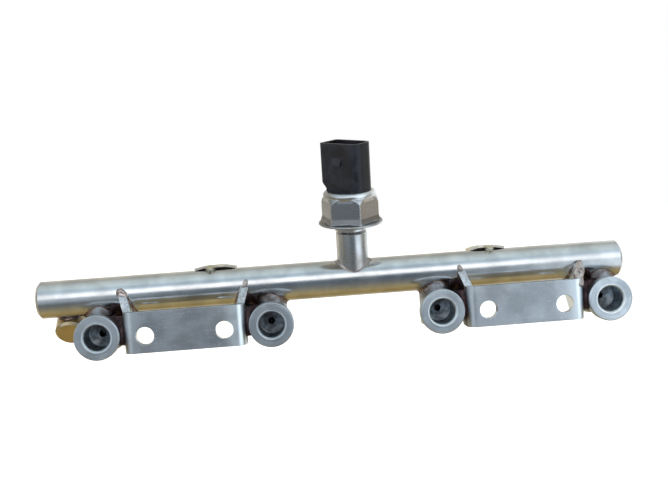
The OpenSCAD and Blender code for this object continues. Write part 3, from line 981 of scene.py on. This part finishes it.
@dataclass
class Brackets:
    """Two bent sheet brackets: beads where their ears cradle the tube, and their finish."""

    tube: RailTube
    middle: float = 91.0
    half: float = 32.0
    sheet: float = 4.0
    shoulder: float = 12.8
    lean: float = 17.0
    tip: float = 17.0
    cup_radius: float = 11.9
    cup_rise: float = 0.9
    shares: tuple[float, float, float, float] = (0.82, 0.68, 0.66, 0.56)
    drops: tuple[tuple[float, float, float, float, float], ...] = (
        (5.8, 6.4, 1.8, 3.0, 0.3), (2.8, 4.6, 1.2, 9.0, 1.9), (2.6, 3.6, 1.1, 7.0, 3.1),
    )
    long_drop: tuple[float, float, tuple[float, float], tuple[float, float], float] = (
        5.4, 1.7, (9.6, 21.8), (0.2, 8.6), 0.6,
    )
    ear_inside: float = 20.0
    ear_skin: float = 12.0
    pressed_from: float = -30.0

    def lean_x(self, off: Any, rise: Any) -> Any:
        """Gives x in an ear's middle or beside it: off (mm) square to the ear, rise above its shoulder."""
        tilt = math.radians(self.lean)
        return self.half + (off + rise * math.sin(tilt)) / math.cos(tilt)

    def side_bead(self, outer: bool) -> np.ndarray:
        """Bead along one face of the right-hand ear, from behind the tube up to the tongue's tip.

        The ball touches the ear's leaning plane and the tube. Its angle round the tube runs
        from under the tube to the tip, and its size tapers off at both ends.

        Args:
            outer: True for the ear's outer face.

        Returns:
            The closed sections.
        """
        start, end = -117.0, self.tip - 2
        t = np.linspace(0, 1, 64)
        angle = np.radians(start + (end - start) * t)
        ball = 0.25 + 0.95 * np.sin(np.pi * np.clip(t * 1.05, 0, 1)) ** 0.6 * (1 + 0.12 * np.sin(19 * t))
        ball = np.minimum(ball, 0.45 + 1.6 * (1 - t) + 0.15)
        tilt = math.radians(self.lean)
        normal = np.array([math.cos(tilt), 0, -math.sin(tilt)]) * (1 if outer else -1)
        spot = self.tube.around(0 * t, angle, self.tube.radius + ball)
        plane = ball if outer else -(self.sheet + ball)
        spot[:, 0] = self.lean_x(plane, spot[:, 2] - self.shoulder)
        touch = self.tube.around(spot[:, 0], angle, self.tube.radius)
        return bead_section(spot, spot - normal * ball[:, None], touch, 7)

    @staticmethod
    def ellipsoid(sections: int) -> tuple[np.ndarray, np.ndarray]:
        """Angles of an ellipsoid's grid: from pole to pole, just short of both, and round its axis."""
        polar = np.linspace(0.02, np.pi - 0.02, sections)[:, None]
        return polar, circle(32)[None, :]

    def tip_drop(self, wide: float, tall: float, proud: float, at: float, seed: float) -> np.ndarray:
        """A drop of braze over the tongue: a lumpy ellipsoid laid on the tube's skin.

        Its three half-axes are half of wide, half of tall and proud, swelled by sines of
        the two angles; its height is wound round the tube.

        Args:
            wide: its width, in millimetres.
            tall: its height, in millimetres.
            proud: how far it stands out, in millimetres.
            at: its angle round the tube, in degrees.
            seed: shifts its lumps.

        Returns:
            The closed sections.
        """
        polar, around = self.ellipsoid(21)
        lump = 1 + 0.10 * np.sin(3 * polar + seed) * np.cos(2 * around + seed)
        lump += 0.06 * np.sin(7 * around + 5 * polar + seed)
        across = wide / 2 * np.sign(np.cos(polar)) * np.abs(np.cos(polar)) ** 0.8 * (1 + 0 * around)
        out = proud * lump * np.sin(polar) * np.cos(around) + 0.7
        along = tall / 2 * lump * np.sin(polar) * np.sin(around)
        angle = math.radians(at) + along / self.tube.radius
        height = self.tube.height + self.tube.radius * np.sin(angle)
        x = self.lean_x(-self.sheet / 2, height - self.shoulder) + across
        return self.tube.around(x, angle, self.tube.radius + out)

    def tongue_drop(self, wide: float, proud: float, top: tuple[float, float], foot: tuple[float, float],
                    seed: float) -> np.ndarray:
        """A long drop down the tongue's front: a lumpy ellipsoid laid on the line from top to foot.

        Its half-axes are half the line, half of wide and proud.

        Args:
            wide: its width, in millimetres.
            proud: how far it stands out, in millimetres.
            top: y and z of its upper end.
            foot: y and z of its lower end.
            seed: shifts its lumps.

        Returns:
            The closed sections.
        """
        polar, around = self.ellipsoid(31)
        lump = 1 + 0.09 * np.sin(5 * polar + seed) + 0.05 * np.sin(3 * around + 7 * polar + seed)
        middle, half_line = (np.array(top) + foot) / 2, (np.array(top) - foot) / 2
        length = np.linalg.norm(half_line)
        girth = lump * np.sin(polar) ** 0.7
        out = proud * girth * np.cos(around)
        y = middle[0] + half_line[0] * np.cos(polar) - half_line[1] / length * out
        z = middle[1] + half_line[1] * np.cos(polar) + half_line[0] / length * out
        x = self.lean_x(-self.sheet / 2, np.maximum(z - self.shoulder, 0)) + wide / 2 * girth * np.sin(around)
        return xyz(x, y, z)

    def tube_bridge(self) -> np.ndarray:
        """Dark braze under the tube between the ear and the cup's body, which also paints the shade there,
        section by section along the rail.

        Each section follows the tube's lower front; it is thick at both ends of the gap
        and thin half way, as a hanging film is.

        Returns:
            The closed sections.
        """
        front, below, gap, buried = -28.0, -112.0, 7.4, 0.4
        along = np.linspace(0, 1, 17)[:, None]
        turn = np.linspace(0, 1, 19)[None, :]
        angle = np.radians(front + (below - front) * turn)
        thick = (1.3 + 2.6 * (2 * along - 1) ** 2) * np.sin(np.pi * np.clip(turn, 0.02, 0.98)) ** 0.6
        x = self.half - 0.5 + gap * along + 0 * turn
        outer = self.tube.around(x, angle, self.tube.radius + thick)
        inner = self.tube.around(x, angle, np.full_like(thick, self.tube.radius - buried))[:, ::-1]
        return np.concatenate([outer, inner], axis=1)

    def head_bridge(self) -> np.ndarray:
        """A dark film in the narrow gap between the ear and the cup's head, braze that stands for the shade
        there, section by section upwards.

        The head's side lies at the cup's middle less the root of radius squared less
        height squared; the film's front is hollow and lies deeper where the gap is wider.

        Returns:
            The closed sections.
        """
        bottom, top, buried, back_y = -5.0, 11.6, 0.4, 8.4
        z = np.linspace(bottom, top, 33)[:, None]
        t = np.linspace(0, 1, 9)[None, :]
        tall = z - self.cup_rise
        near = self.middle / 2 - np.sqrt(self.cup_radius**2 - tall**2) + buried
        far = self.middle / 2 - np.sqrt(np.maximum((self.cup_radius - 3.0) ** 2 - tall**2, 4.0)) + buried
        edge = self.half - 0.6
        gap = near - edge
        depth = 2.6 + 0.45 * (gap - 2.4) + 1.2 * np.clip(bottom + 1 - z, 0, 1)
        hollow = depth + 0.35 * gap * 4 * t * (1 - t)
        front = xyz(edge + gap * t, hollow, z)
        back = xyz(edge + (far - edge) * t[:, ::-1], back_y, z)
        return np.concatenate([front, back], axis=1)

    def build(self, copper: Material, shaded: Material, pale: Material, grey: Material) -> None:
        """Makes the beads and drops of all four ears, and the dark braze films in the gaps to the cups, which
        also paint the shade there.

        Args:
            copper: the common braze.
            shaded: the braze in gaps, darkened as painted shade.
            pale: the outer drops' braze.
            grey: the inner drops' braze.
        """
        beads, drops, inner_drops, films = [], [], [], []
        for k in range(4):
            side = np.array([1 if k % 2 else -1, 1, 1])
            shift = np.array([self.middle if k > 1 else -self.middle, 0, 0])
            drop = self.tip_drop(*self.drops[k]) if k < 3 else self.tongue_drop(*self.long_drop)
            (drops if k in (0, 3) else inner_drops).append(shell(drop * side + shift, False))
            for sections in (self.side_bead(True), self.side_bead(False)):
                placed = sections * side + shift
                low = self.lower_tips(placed.reshape(-1, 3) * MM) / MM
                beads.append(shell(low.reshape(placed.shape), False))
            for sections in (self.tube_bridge(), self.head_bridge()):
                films.append(shell(sections * side + shift, False))
        put_piece("ear_beads", beads, copper, "bracket_brazing")
        put_piece("ear_drops", drops, pale, sharp=180.0)
        put_piece("ear_drops_inner", inner_drops, grey, sharp=180.0)
        put_piece("gap_films", films, shaded)

    def lower_tips(self, points: np.ndarray) -> np.ndarray:
        """Brings the tongues' tips lower on the tube, each by its own share, as in the photo.

        The points' angles round the tube, from pressed_from up to the tip, are pressed
        together; each keeps its distance from the tube's axis and the ear keeps its lean.

        Args:
            points: the points, in metres.

        Returns:
            The moved points, in metres.
        """
        x, y, z = (points / MM).T
        angle = np.degrees(np.arctan2(z - self.tube.height, self.tube.back - y))
        reach = np.hypot(y - self.tube.back, z - self.tube.height)
        off = np.abs(x) - self.middle
        ear = (np.abs(off) > self.ear_inside) & (y < self.tube.back) & (z > self.shoulder)
        ear &= (angle > self.pressed_from) & (reach < self.ear_skin)
        share = np.select([x < -self.middle, x < 0, x < self.middle], self.shares[:3], self.shares[3])
        turned = np.radians(self.pressed_from + (angle - self.pressed_from) * share)
        low_y = self.tube.back - reach * np.cos(turned)
        low_z = self.tube.height + reach * np.sin(turned)
        low_x = x - np.sign(x) * np.sign(off) * (z - low_z) * math.tan(math.radians(self.lean))
        return np.where(ear[:, None], xyz(low_x, low_y, low_z), points / MM) * MM

    def dress(self, fx: Effects) -> None:
        """Puts merged copies of both brackets in their place, tongues lowered, in plated sheet.

        Args:
            fx: the shared node groups.
        """
        # painted light: the left bracket's sheet is toned darker than the right one, by how each is lit
        for label, place, bracket_light_level in (("left", -self.middle, 0.84), ("right", self.middle, 1.0)):
            ears = (place - self.half - 1, place + self.half + 1)
            finish = SteelFinish(
                f"bracket_sheet_{label}", Grain.ROLLED, colour=toned(bracket_light_level, (0.50, 0.54, 0.585)),
                dull=toned(bracket_light_level, (0.36, 0.39, 0.42)), clouds=0.13, roughness=0.40,
                uneven=0.14, lines=0.08, edge_mm=0.5, density=1800.0, heat=0.35, scratches=0.35,
                joints=tuple(Joint(x, self.tube.back - 9, 17.0, 5.0, 7.0) for x in ears),
                flank=(place, 0.9), sheet=SheetLight(place, self.shoulder - 0.2, 1.75 / bracket_light_level), relief=0.02,
            )
            put_copy(f"bent_bracket_{label}", f"bracket_{label}", self.lower_tips, finish.build(fx))


@dataclass
class FuelInlet:
    """The inlet fitting beside the first cup: its brazed joint, thread and finish."""

    tube: RailTube
    x: float = -155.0
    tilt: float = 40.0
    body: float = 8.5
    offset: float = 17.0
    thread_start: float = 11.4
    thread_end: float = 20.2
    pitch: float = 1.5
    crest: float = 7.28
    root: float = 6.9

    def along(self) -> np.ndarray:
        """Direction of the inlet's axis."""
        angle = math.radians(self.tilt)
        return np.array([0, math.cos(angle), math.sin(angle)])

    def thread(self) -> np.ndarray:
        """Sections of the thread's ridge: a triangle carried along a helix that fades at both ends.

        Returns:
            The closed sections.
        """
        turns = (self.thread_end - self.thread_start) / self.pitch
        t = np.linspace(0, 1, int(turns * 60))
        angle = 2 * np.pi * turns * t
        fade = np.clip(np.minimum(t, 1 - t) * turns * 1.6, 0.05, 1)
        across = np.array([0, math.sin(math.radians(self.tilt)), -math.cos(math.radians(self.tilt))])
        outward = np.cos(angle)[:, None] * np.array([1.0, 0, 0]) + np.sin(angle)[:, None] * across
        axis = self.tube.axis_point(self.x) + across * self.offset
        middle = self.thread_start + (self.thread_end - self.thread_start) * t
        low = np.full_like(t, self.root)
        high = self.root + (self.crest - self.root) * fade
        wide, flat = 0.47 * self.pitch, 0.047 * self.pitch
        profile = [(low, -wide), (high, -flat), (high, flat), (low, wide)]
        return np.stack([
            axis + r[:, None] * outward + (middle + s)[:, None] * self.along() for r, s in profile
        ], axis=1)

    def build(self, fillets: BossFillets, copper: Material, steel: Material) -> None:
        """Makes the fillet and the thread.

        Args:
            fillets: makes the fillets' sections.
            copper: the common braze.
            steel: the steel.
        """
        ring = fillets.ring(self.x, self.tilt - 90, self.body, 1.0, offset=self.offset, seed=0.4)
        put_piece("inlet_fillet", [shell(ring, True)], copper, "inlet_brazing")
        put_piece("inlet_thread", [shell(self.thread(), False)], steel, sharp=20)

    def finish(self, fx: Effects) -> Material:
        """Turned steel with rings about the inlet's axis.

        Args:
            fx: the shared node groups.

        Returns:
            The material.
        """
        angle = math.radians(self.tilt)
        centre = (self.x, self.tube.back + self.offset * math.sin(angle),
                  self.tube.height - self.offset * math.cos(angle))
        return SteelFinish(
            "turned_inlet", Grain.TURNED, colour=(0.60, 0.50, 0.32), dull=(0.44, 0.37, 0.23), roughness=0.32,
            lines=0.14, centre_mm=centre, turn=(self.tilt - 90, 0, 0), density=2600.0, heat=0.7,
            joints=(Joint(self.x, self.tube.back + 6, self.tube.height - 9, 5.0, 5.0),),
        ).build(fx)


@dataclass
class PressureSensor:
    """The port and the screwed-in sensor, which lean towards the front."""

    tube: RailTube
    x: float = 1.0
    lean: float = 11.0
    port: float = 8.5
    bead: float = 1.6
    zones: tuple[Zone, ...] = (
        Zone(11.0, 17.0, 31.4, 35.2, 0.55),  # painted shade at the hexagon's foot
        Zone(8.0, 19, 27.5, 31.0, 1.8),  # painted light on the collar and flange
        Zone(0, 14.0, 44.0, 60.0, 1.6),  # painted highlight on the body's top
    )

    def build(self, fillets: BossFillets, copper: Material) -> None:
        """Makes the fillet round the port's foot."""
        ring = fillets.ring(self.x, self.lean, self.port, self.bead, seed=2.1)
        put_piece("port_fillet", [shell(ring, True)], copper, "port_brazing")

    def dress(self, fx: Effects) -> None:
        """Gives the port, body, cell, board, connector and blades their finishes.

        Args:
            fx: the shared node groups.
        """
        centre = (self.x, self.tube.back, self.tube.height)
        turned = SteelFinish(
            "turned_port", Grain.TURNED, roughness=0.27, lines=0.14, centre_mm=centre, turn=(self.lean, 0, 0),
            density=2200.0, heat=0.4,
            joints=(Joint(self.x, self.tube.back - 8, self.tube.height + 9, 3.0, 4.0),),
        )
        # painted light and shade: the body's left faces darker, its right faces lighter
        machined = SteelFinish(
            "machined_sensor_body", Grain.TURNED, colour=(0.44, 0.45, 0.47), dull=(0.34, 0.35, 0.37),
            roughness=0.30, lines=0.10, edge_mm=0.85, edge_light=1.0, sides=(0.66, 1.18), zones=self.zones,
            centre_mm=centre, turn=(self.lean, 0, 0), density=1800.0, relief=0.006,
        )
        tinned = SteelFinish("tinned_contacts", Grain.ROLLED, colour=(0.70, 0.69, 0.66), edge_mm=0.08)
        lacquer = PlasticFinish("board_lacquer", (0.02, 0.10, 0.04), (0.08, 0.16, 0.09), 0.3)
        dress_node("sensor_port", turned.build(fx))
        dress_nodes(("sensor_body", "pressure_cell"), machined.build(fx))
        dress_node("circuit_board", lacquer.build(fx))
        dress_node("sensor_connector", PlasticFinish("connector_plastic").build(fx))
        dress_nodes((f"contact_blade_{k}" for k in (1, 2, 3)), tinned.build(fx))


@dataclass
class HarnessStraps:
    """Two sheet straps on the tube's crown: the tongue folded closer, and the dark braze that holds them,
    which also paints the shade under the arch.
    """

    tube: RailTube
    middle: float = 74.0
    half: float = 11.0
    flat: float = 5.5
    gap: float = 1.2
    fold: float = 18.9
    shorter: float = 0.52
    left_share: float = 0.7
    flatter: float = 0.88
    narrower: float = 0.5

    def fold_tongue(self, points: np.ndarray) -> np.ndarray:
        """Folds the tongue closer and makes it a V; the arch is pressed flatter on the tube.

        Points in front of the fold keep the share shorter of their way to the tip, and the
        tongue narrows evenly up to there; the height above the tube's skin is scaled by flatter.

        Args:
            points: the points, in metres.

        Returns:
            The moved points, in metres.
        """
        x, y, z = (points / MM).T
        tongue = y < self.fold
        near = np.where(tongue, self.fold + (y - self.fold) * self.shorter, y)
        above = np.hypot(y - self.tube.back, z - self.tube.height) - self.tube.radius
        reach = self.tube.radius + above * np.where(above > 0, self.flatter, 1)
        arch = self.tube.height + np.sqrt(np.maximum(reach**2 - (near - self.tube.back) ** 2, 0.0))
        middle = x[tongue].mean()
        narrow = 1 - self.narrower * np.clip((self.fold - y) / (self.fold - y.min()), 0, 1)
        across = np.where(tongue, middle + (x - middle) * narrow, x)
        return xyz(self.press_end(across), near, np.where(z > self.tube.height, arch, z)) * MM

    def press_end(self, x: np.ndarray) -> np.ndarray:
        """Presses the right strap's left half together, as in the photo."""
        return np.where((x > 0) & (x < self.middle), self.middle + (x - self.middle) * self.left_share, x)

    def film(self) -> np.ndarray:
        """Dark braze under the arch, which also paints the shade there: sections along the rail whose height
        follows the strap's underside.

        Returns:
            The closed sections.
        """
        x = np.linspace(-self.half + 0.4, self.half - 0.4, 41)[:, None]
        turn = circle(20)[None, :]
        rise = np.clip((self.half - np.abs(x)) / (self.half - self.flat), 0, 1)
        tall = self.flatter * self.gap * rise + 0.5
        y = self.tube.back + 1.5 + 2.2 * np.cos(turn)
        z = self.tube.height + self.tube.radius - 0.4 + tall / 2 * (1 + np.sin(turn))
        return xyz(x, y, z)

    def build(self, steel: Material, shaded: Material) -> None:
        """Makes both straps from merged copies of their nodes' meshes, and the dark braze films under them,
        which also paint the shade there.

        Args:
            steel: the steel.
            shaded: the braze in gaps, darkened as painted shade.
        """
        films = []
        for label, place in (("left", -self.middle), ("right", self.middle)):
            put_copy(f"harness_strap_{label}", f"strap_{label}", self.fold_tongue, steel)
            film = self.film() + np.array([place, 0, 0])
            film[..., 0] = self.press_end(film[..., 0])
            films.append(shell(film, False))
        put_piece("strap_films", films, shaded)


def dress_node(name: str, material: Material) -> None:
    """Puts a finish on every slot of a CAD node.

    Args:
        name: the node's name.
        material: the finish.
    """
    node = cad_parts[name]
    if not node.material_slots:
        node.data.materials.append(material)
    for slot in node.material_slots:
        slot.material = material
    log.info("%s wears %s", name, material.name)


def dress_nodes(names: Iterable[str], material: Material) -> None:
    """Puts one finish on several CAD nodes."""
    for name in names:
        dress_node(name, material)


# ---------------------------------------------------------------- studio and camera


@dataclass
class Studio:
    """White world, pale floor, a soft lamp and the tent that the metal reflects.

    Lengths are in metres. glow gives the tent's colour at angles about the rail, in
    degrees above the horizon in front.
    """

    floor_z: float = -0.20
    floor_half: float = 6.0
    tent_radius: float = 0.9
    tent_half_length: float = 2.6
    panel: Vec = (0.84, 0.93, 1.0)
    tent_ends: Vec = (0.36, 0.31, 0.235)
    soft_level: float = 0.62
    shadow_reach: tuple[float, float] = (0.2, 0.42)
    floor_glow: tuple[float, float] = (0.28, 0.8)
    low_panel_angle: float = -55.0
    key_place: Vec = (-0.5, -0.7, 1.1)
    key_size: float = 0.8
    key_power: float = 14.0
    glow: tuple[tuple[float, Vec], ...] = (
        (-180, (0.50, 0.47, 0.41)), (-148, (0.36, 0.31, 0.21)), (-115, (0.22, 0.155, 0.055)),
        (-87, (0.28, 0.215, 0.10)), (-68, (0.23, 0.195, 0.115)), (-50, (0.16, 0.155, 0.125)),
        (-30, (0.10, 0.11, 0.115)), (-6, (0.075, 0.095, 0.115)), (5, (0.16, 0.19, 0.22)),
        (14, (1.0, 1.0, 1.0)), (29, (1.0, 1.0, 1.0)), (38, (0.40, 0.48, 0.54)),
        (50, (0.30, 0.37, 0.43)), (66, (0.46, 0.54, 0.56)), (90, (0.42, 0.47, 0.47)),
        (120, (0.29, 0.29, 0.26)), (150, (0.42, 0.39, 0.33)), (180, (0.50, 0.47, 0.41)),
    )

    def white_world(self) -> None:
        """White for the camera and reflections, a plain soft level for diffuse light."""
        world = bpy.data.worlds.new("studio_world")
        world.use_nodes = True
        pad = NodePad(world.node_tree)
        path = pad.add("ShaderNodeLightPath").outputs
        seen = pad.math("MAXIMUM", path["Is Camera Ray"], path["Is Glossy Ray"])
        seen = pad.math("MAXIMUM", seen, path["Is Transmission Ray"])
        white = pad.add("ShaderNodeBackground", {"Color": (1, 1, 1, 1), "Strength": 1.0})
        soft = pad.add("ShaderNodeBackground", {"Color": (0.97, 0.98, 1, 1), "Strength": self.soft_level})
        mixed = pad.add("ShaderNodeMixShader", {0: seen, 1: soft.outputs[0], 2: white.outputs[0]})
        pad.add("ShaderNodeOutputWorld", {"Surface": mixed.outputs[0]})
        bpy.context.scene.world = world

    def floor(self) -> None:
        """A pale floor that keeps the shadow; for the camera it also glows, more with distance from the
        middle, as painted light that makes it white.
        """
        mat, pad = blank_material("floor_paint")
        paint = pad.add("ShaderNodeBsdfDiffuse", {"Color": (0.86, 0.86, 0.86, 1)}).outputs[0]
        # painted light: the floor glows for the camera, more with distance from the middle
        gap = pad.vector("DISTANCE", pad.here(), (0, 0, self.floor_z))["Value"]
        level = pad.ramp(gap, *self.shadow_reach, *self.floor_glow)
        camera_glow = pad.add("ShaderNodeEmission", {"Color": (1, 1, 1, 1), "Strength": level}).outputs[0]
        both = pad.add("ShaderNodeAddShader", {0: paint, 1: camera_glow}).outputs[0]
        camera_ray = pad.add("ShaderNodeLightPath").outputs["Is Camera Ray"]
        pad.end(pad.add("ShaderNodeMixShader", {0: camera_ray, 1: paint, 2: both}).outputs[0])
        half = self.floor_half
        corners = xyz([-half, half, half, -half], [-half, -half, half, half], self.floor_z)
        put_stage("floor", corners, [[0, 1, 2, 3]], mat).visible_glossy = False

    def tent(self) -> None:
        """A round tent about the rail, seen only in reflections.

        Its surface is a cylinder about the X axis. Its light depends on the angle above
        the front horizon: a window strip low in front, a pale ceiling, a dark room behind
        the photographer and a warm table below. White panels stand to the right and left,
        and both ends are closed and warmer.
        """
        angle = circle(96)
        across = np.linspace(-self.tent_half_length, self.tent_half_length, 9)
        ring = xyz(0.0, -self.tent_radius * np.cos(angle), self.tent_radius * np.sin(angle))
        points, faces = shell(ring[None] + across[:, None, None] * np.array([1.0, 0, 0]), False)
        tent = put_stage("light_tent", points, faces, self.tent_light())
        for ray in ("camera", "diffuse", "transmission", "volume_scatter", "shadow"):
            setattr(tent, f"visible_{ray}", False)

    def tent_light(self) -> Material:
        """The tent's light: its glow by angle, then the panels beside it and the closed ends.

        Returns:
            The material.
        """
        mat, pad = blank_material("tent_light")
        x, y, z = pad.split(pad.here())
        front = pad.times(y, -1.0)
        angle = pad.math("ARCTAN2", z, front)
        ramp = pad.add("ShaderNodeValToRGB", {0: pad.times_add(angle, 0.5 / math.pi, 0.5)})
        strip = ramp.color_ramp
        while len(strip.elements) < len(self.glow):
            strip.elements.new(0.5)
        for element, (degrees, colour) in zip(strip.elements, self.glow):
            element.position = (degrees + 180) / 360
            element.color = (*colour, 1)
        level = pad.ramp(pad.math("ABSOLUTE", pad.math("SINE", angle)), 0.97, 0.55)
        below = pad.math("SUBTRACT", pad.times(angle, 180 / math.pi), self.low_panel_angle)
        low = pad.ramp(pad.math("ABSOLUTE", below), 26, 49)
        left = pad.times(pad.ramp(x, -0.12, -0.60, 0.0, 0.55), low)
        left = pad.times(left, pad.ramp(front, -0.1, 0.2))
        right = pad.times(pad.ramp(x, 0.2, 0.62), pad.ramp(front, -0.1, 0.2, 0.5, 1.0))
        panel = pad.times(pad.math("MAXIMUM", right, left), level)
        light = pad.blend(pad.times(panel, 0.9), ramp.outputs[0], self.panel)
        distance = pad.math("ABSOLUTE", x)
        light = pad.blend(pad.ramp(distance, 2.3, 2.5), light, self.tent_ends)
        strength = pad.ramp(distance, 1.2, 2.0, 1.65, 1.3)
        pad.end(pad.add("ShaderNodeEmission", {"Color": light, "Strength": strength}).outputs[0])
        return mat

    def lamp(self, name: str, place: Vec, size: float, power: float) -> None:
        """A square soft lamp aimed at the rail, which metal doesn't mirror.

        Args:
            name: its name.
            place: where it stands, in metres.
            size: its side, in metres.
            power: its power, in watts.
        """
        data = bpy.data.lights.new(name, "AREA")
        data.size, data.energy = size, power
        lamp = put_object(name, data)
        back = np.array(place) / np.linalg.norm(place)
        right = np.cross([0, 0, 1.0], back)
        right /= np.linalg.norm(right)
        turn = np.eye(4)
        turn[:3, 0], turn[:3, 1], turn[:3, 2], turn[:3, 3] = right, np.cross(back, right), back, place
        lamp.matrix_world = Matrix(turn)
        lamp.visible_glossy = False

    def build(self) -> None:
        """Sets the studio up."""
        self.white_world()
        self.floor()
        self.tent()
        self.lamp("key_lamp", self.key_place, self.key_size, self.key_power)
        bpy.context.scene.view_settings.view_transform = "Standard"
        log.info("studio: world, floor, tent and lamp")


@dataclass
class PhotoCamera:
    """The camera that took the photograph: place in millimetres, angles in degrees."""

    place: Vec = (-36.1, -479.77, 67.61)
    yaw: float = -3.12
    pitch: float = -3.592
    roll: float = 3.978
    focal_px: float = 916.38
    width_px: int = 668

    def build(self) -> None:
        """Makes the camera: it looks along +Y, then rolls, pitches and turns."""
        yaw, pitch, roll = (math.radians(a) for a in (self.yaw, self.pitch, self.roll))
        cy, sy, cp, sp, cr, sr = (f(a) for a in (yaw, pitch, roll) for f in (math.cos, math.sin))
        turn = np.array([[cy, -sy, 0], [sy, cy, 0], [0, 0, 1]])
        nod = np.array([[1, 0, 0], [0, cp, -sp], [0, sp, cp]])
        tip = np.array([[cr, 0, sr], [0, 1, 0], [-sr, 0, cr]])
        axes = turn @ nod @ tip
        whole = np.eye(4)
        whole[:3, 0], whole[:3, 1], whole[:3, 2] = axes[:, 0], axes[:, 2], -axes[:, 1]
        whole[:3, 3] = np.array(self.place) * MM
        data = bpy.data.cameras.new("photo_camera")
        data.sensor_fit, data.sensor_width = "HORIZONTAL", 36.0
        data.lens = self.focal_px / self.width_px * data.sensor_width
        data.clip_start, data.clip_end = 0.01, 50.0
        camera = put_object("photo_camera", data)
        camera.matrix_world = Matrix(whole)
        bpy.context.scene.camera = camera
        log.info("camera: lens %.2f mm", data.lens)


def main() -> None:
    """Builds the pieces in order, dresses them and sets the studio up."""
    logging.basicConfig(level=logging.INFO, format="%(message)s")
    fx = Effects()
    tube = RailTube()
    cups, brackets, inlet, sensor = InjectorCups(tube), Brackets(tube), FuelInlet(tube), PressureSensor(tube)
    fillets = BossFillets(tube)
    copper, shaded, pale, grey = (finish.build(fx) for finish in (
        BrazeFinish("brazing_copper"),
        # braze in the gaps, darkened as painted shade
        BrazeFinish(
            "braze_painted_dark_in_gaps", (0.075, 0.042, 0.046), (0.028, 0.018, 0.021), (0.07, 0.058, 0.062), 0.3
        ),
        BrazeFinish("brazing_drops", (0.60, 0.54, 0.52), (0.15, 0.11, 0.105), (0.84, 0.83, 0.83), 0.9),
        BrazeFinish("brazing_at_port", (0.42, 0.39, 0.37), (0.24, 0.20, 0.18), (0.5, 0.5, 0.5), 0.6),
    ))
    inlet_steel = inlet.finish(fx)

    joints = tuple(Joint(cups.x(i), 17.0, 9.0, 6.0, 7.0) for i in range(4))
    drawn = SteelFinish(
        "drawn_tube", Grain.DRAWN, colour=(0.66, 0.68, 0.70), dull=(0.58, 0.59, 0.60), roughness=0.19,
        uneven=0.10, clouds=0.10, lines=0.15, edge_mm=0.4, density=5000.0, heat=0.45,
        joints=joints + (Joint(sensor.x - 6.0, 15.0, 30.0, 2.0, 6.0),),
    )
    dress_node("rail_tube", drawn.build(fx))
    plug = SteelFinish(
        "turned_plug", Grain.TURNED, roughness=0.3, centre_mm=tuple(tube.axis_point()), turn=(0, 90, 0)
    )
    dress_nodes(("end_plug_left", "end_plug_right"), plug.build(fx))
    cups.build(fillets, copper)
    cups.dress(fx)
    brackets.build(copper, shaded, pale, grey)
    brackets.dress(fx)
    inlet.build(fillets, copper, inlet_steel)
    dress_node("inlet_fitting", inlet_steel)
    strap = SteelFinish(
        "strap_sheet", Grain.ROLLED, colour=(0.72, 0.68, 0.58), dull=(0.50, 0.45, 0.34), roughness=0.4,
        edge_mm=0.4, edge_light=0.8, density=2400.0,
    )
    HarnessStraps(tube).build(strap.build(fx), shaded)
    sensor.build(fillets, grey)
    sensor.dress(fx)
    dress_nodes(("cup_brazing", "bracket_brazing", "inlet_brazing", "port_brazing"), copper)
    Studio().build()
    PhotoCamera().build()


if __name__ == "__main__":
    main()
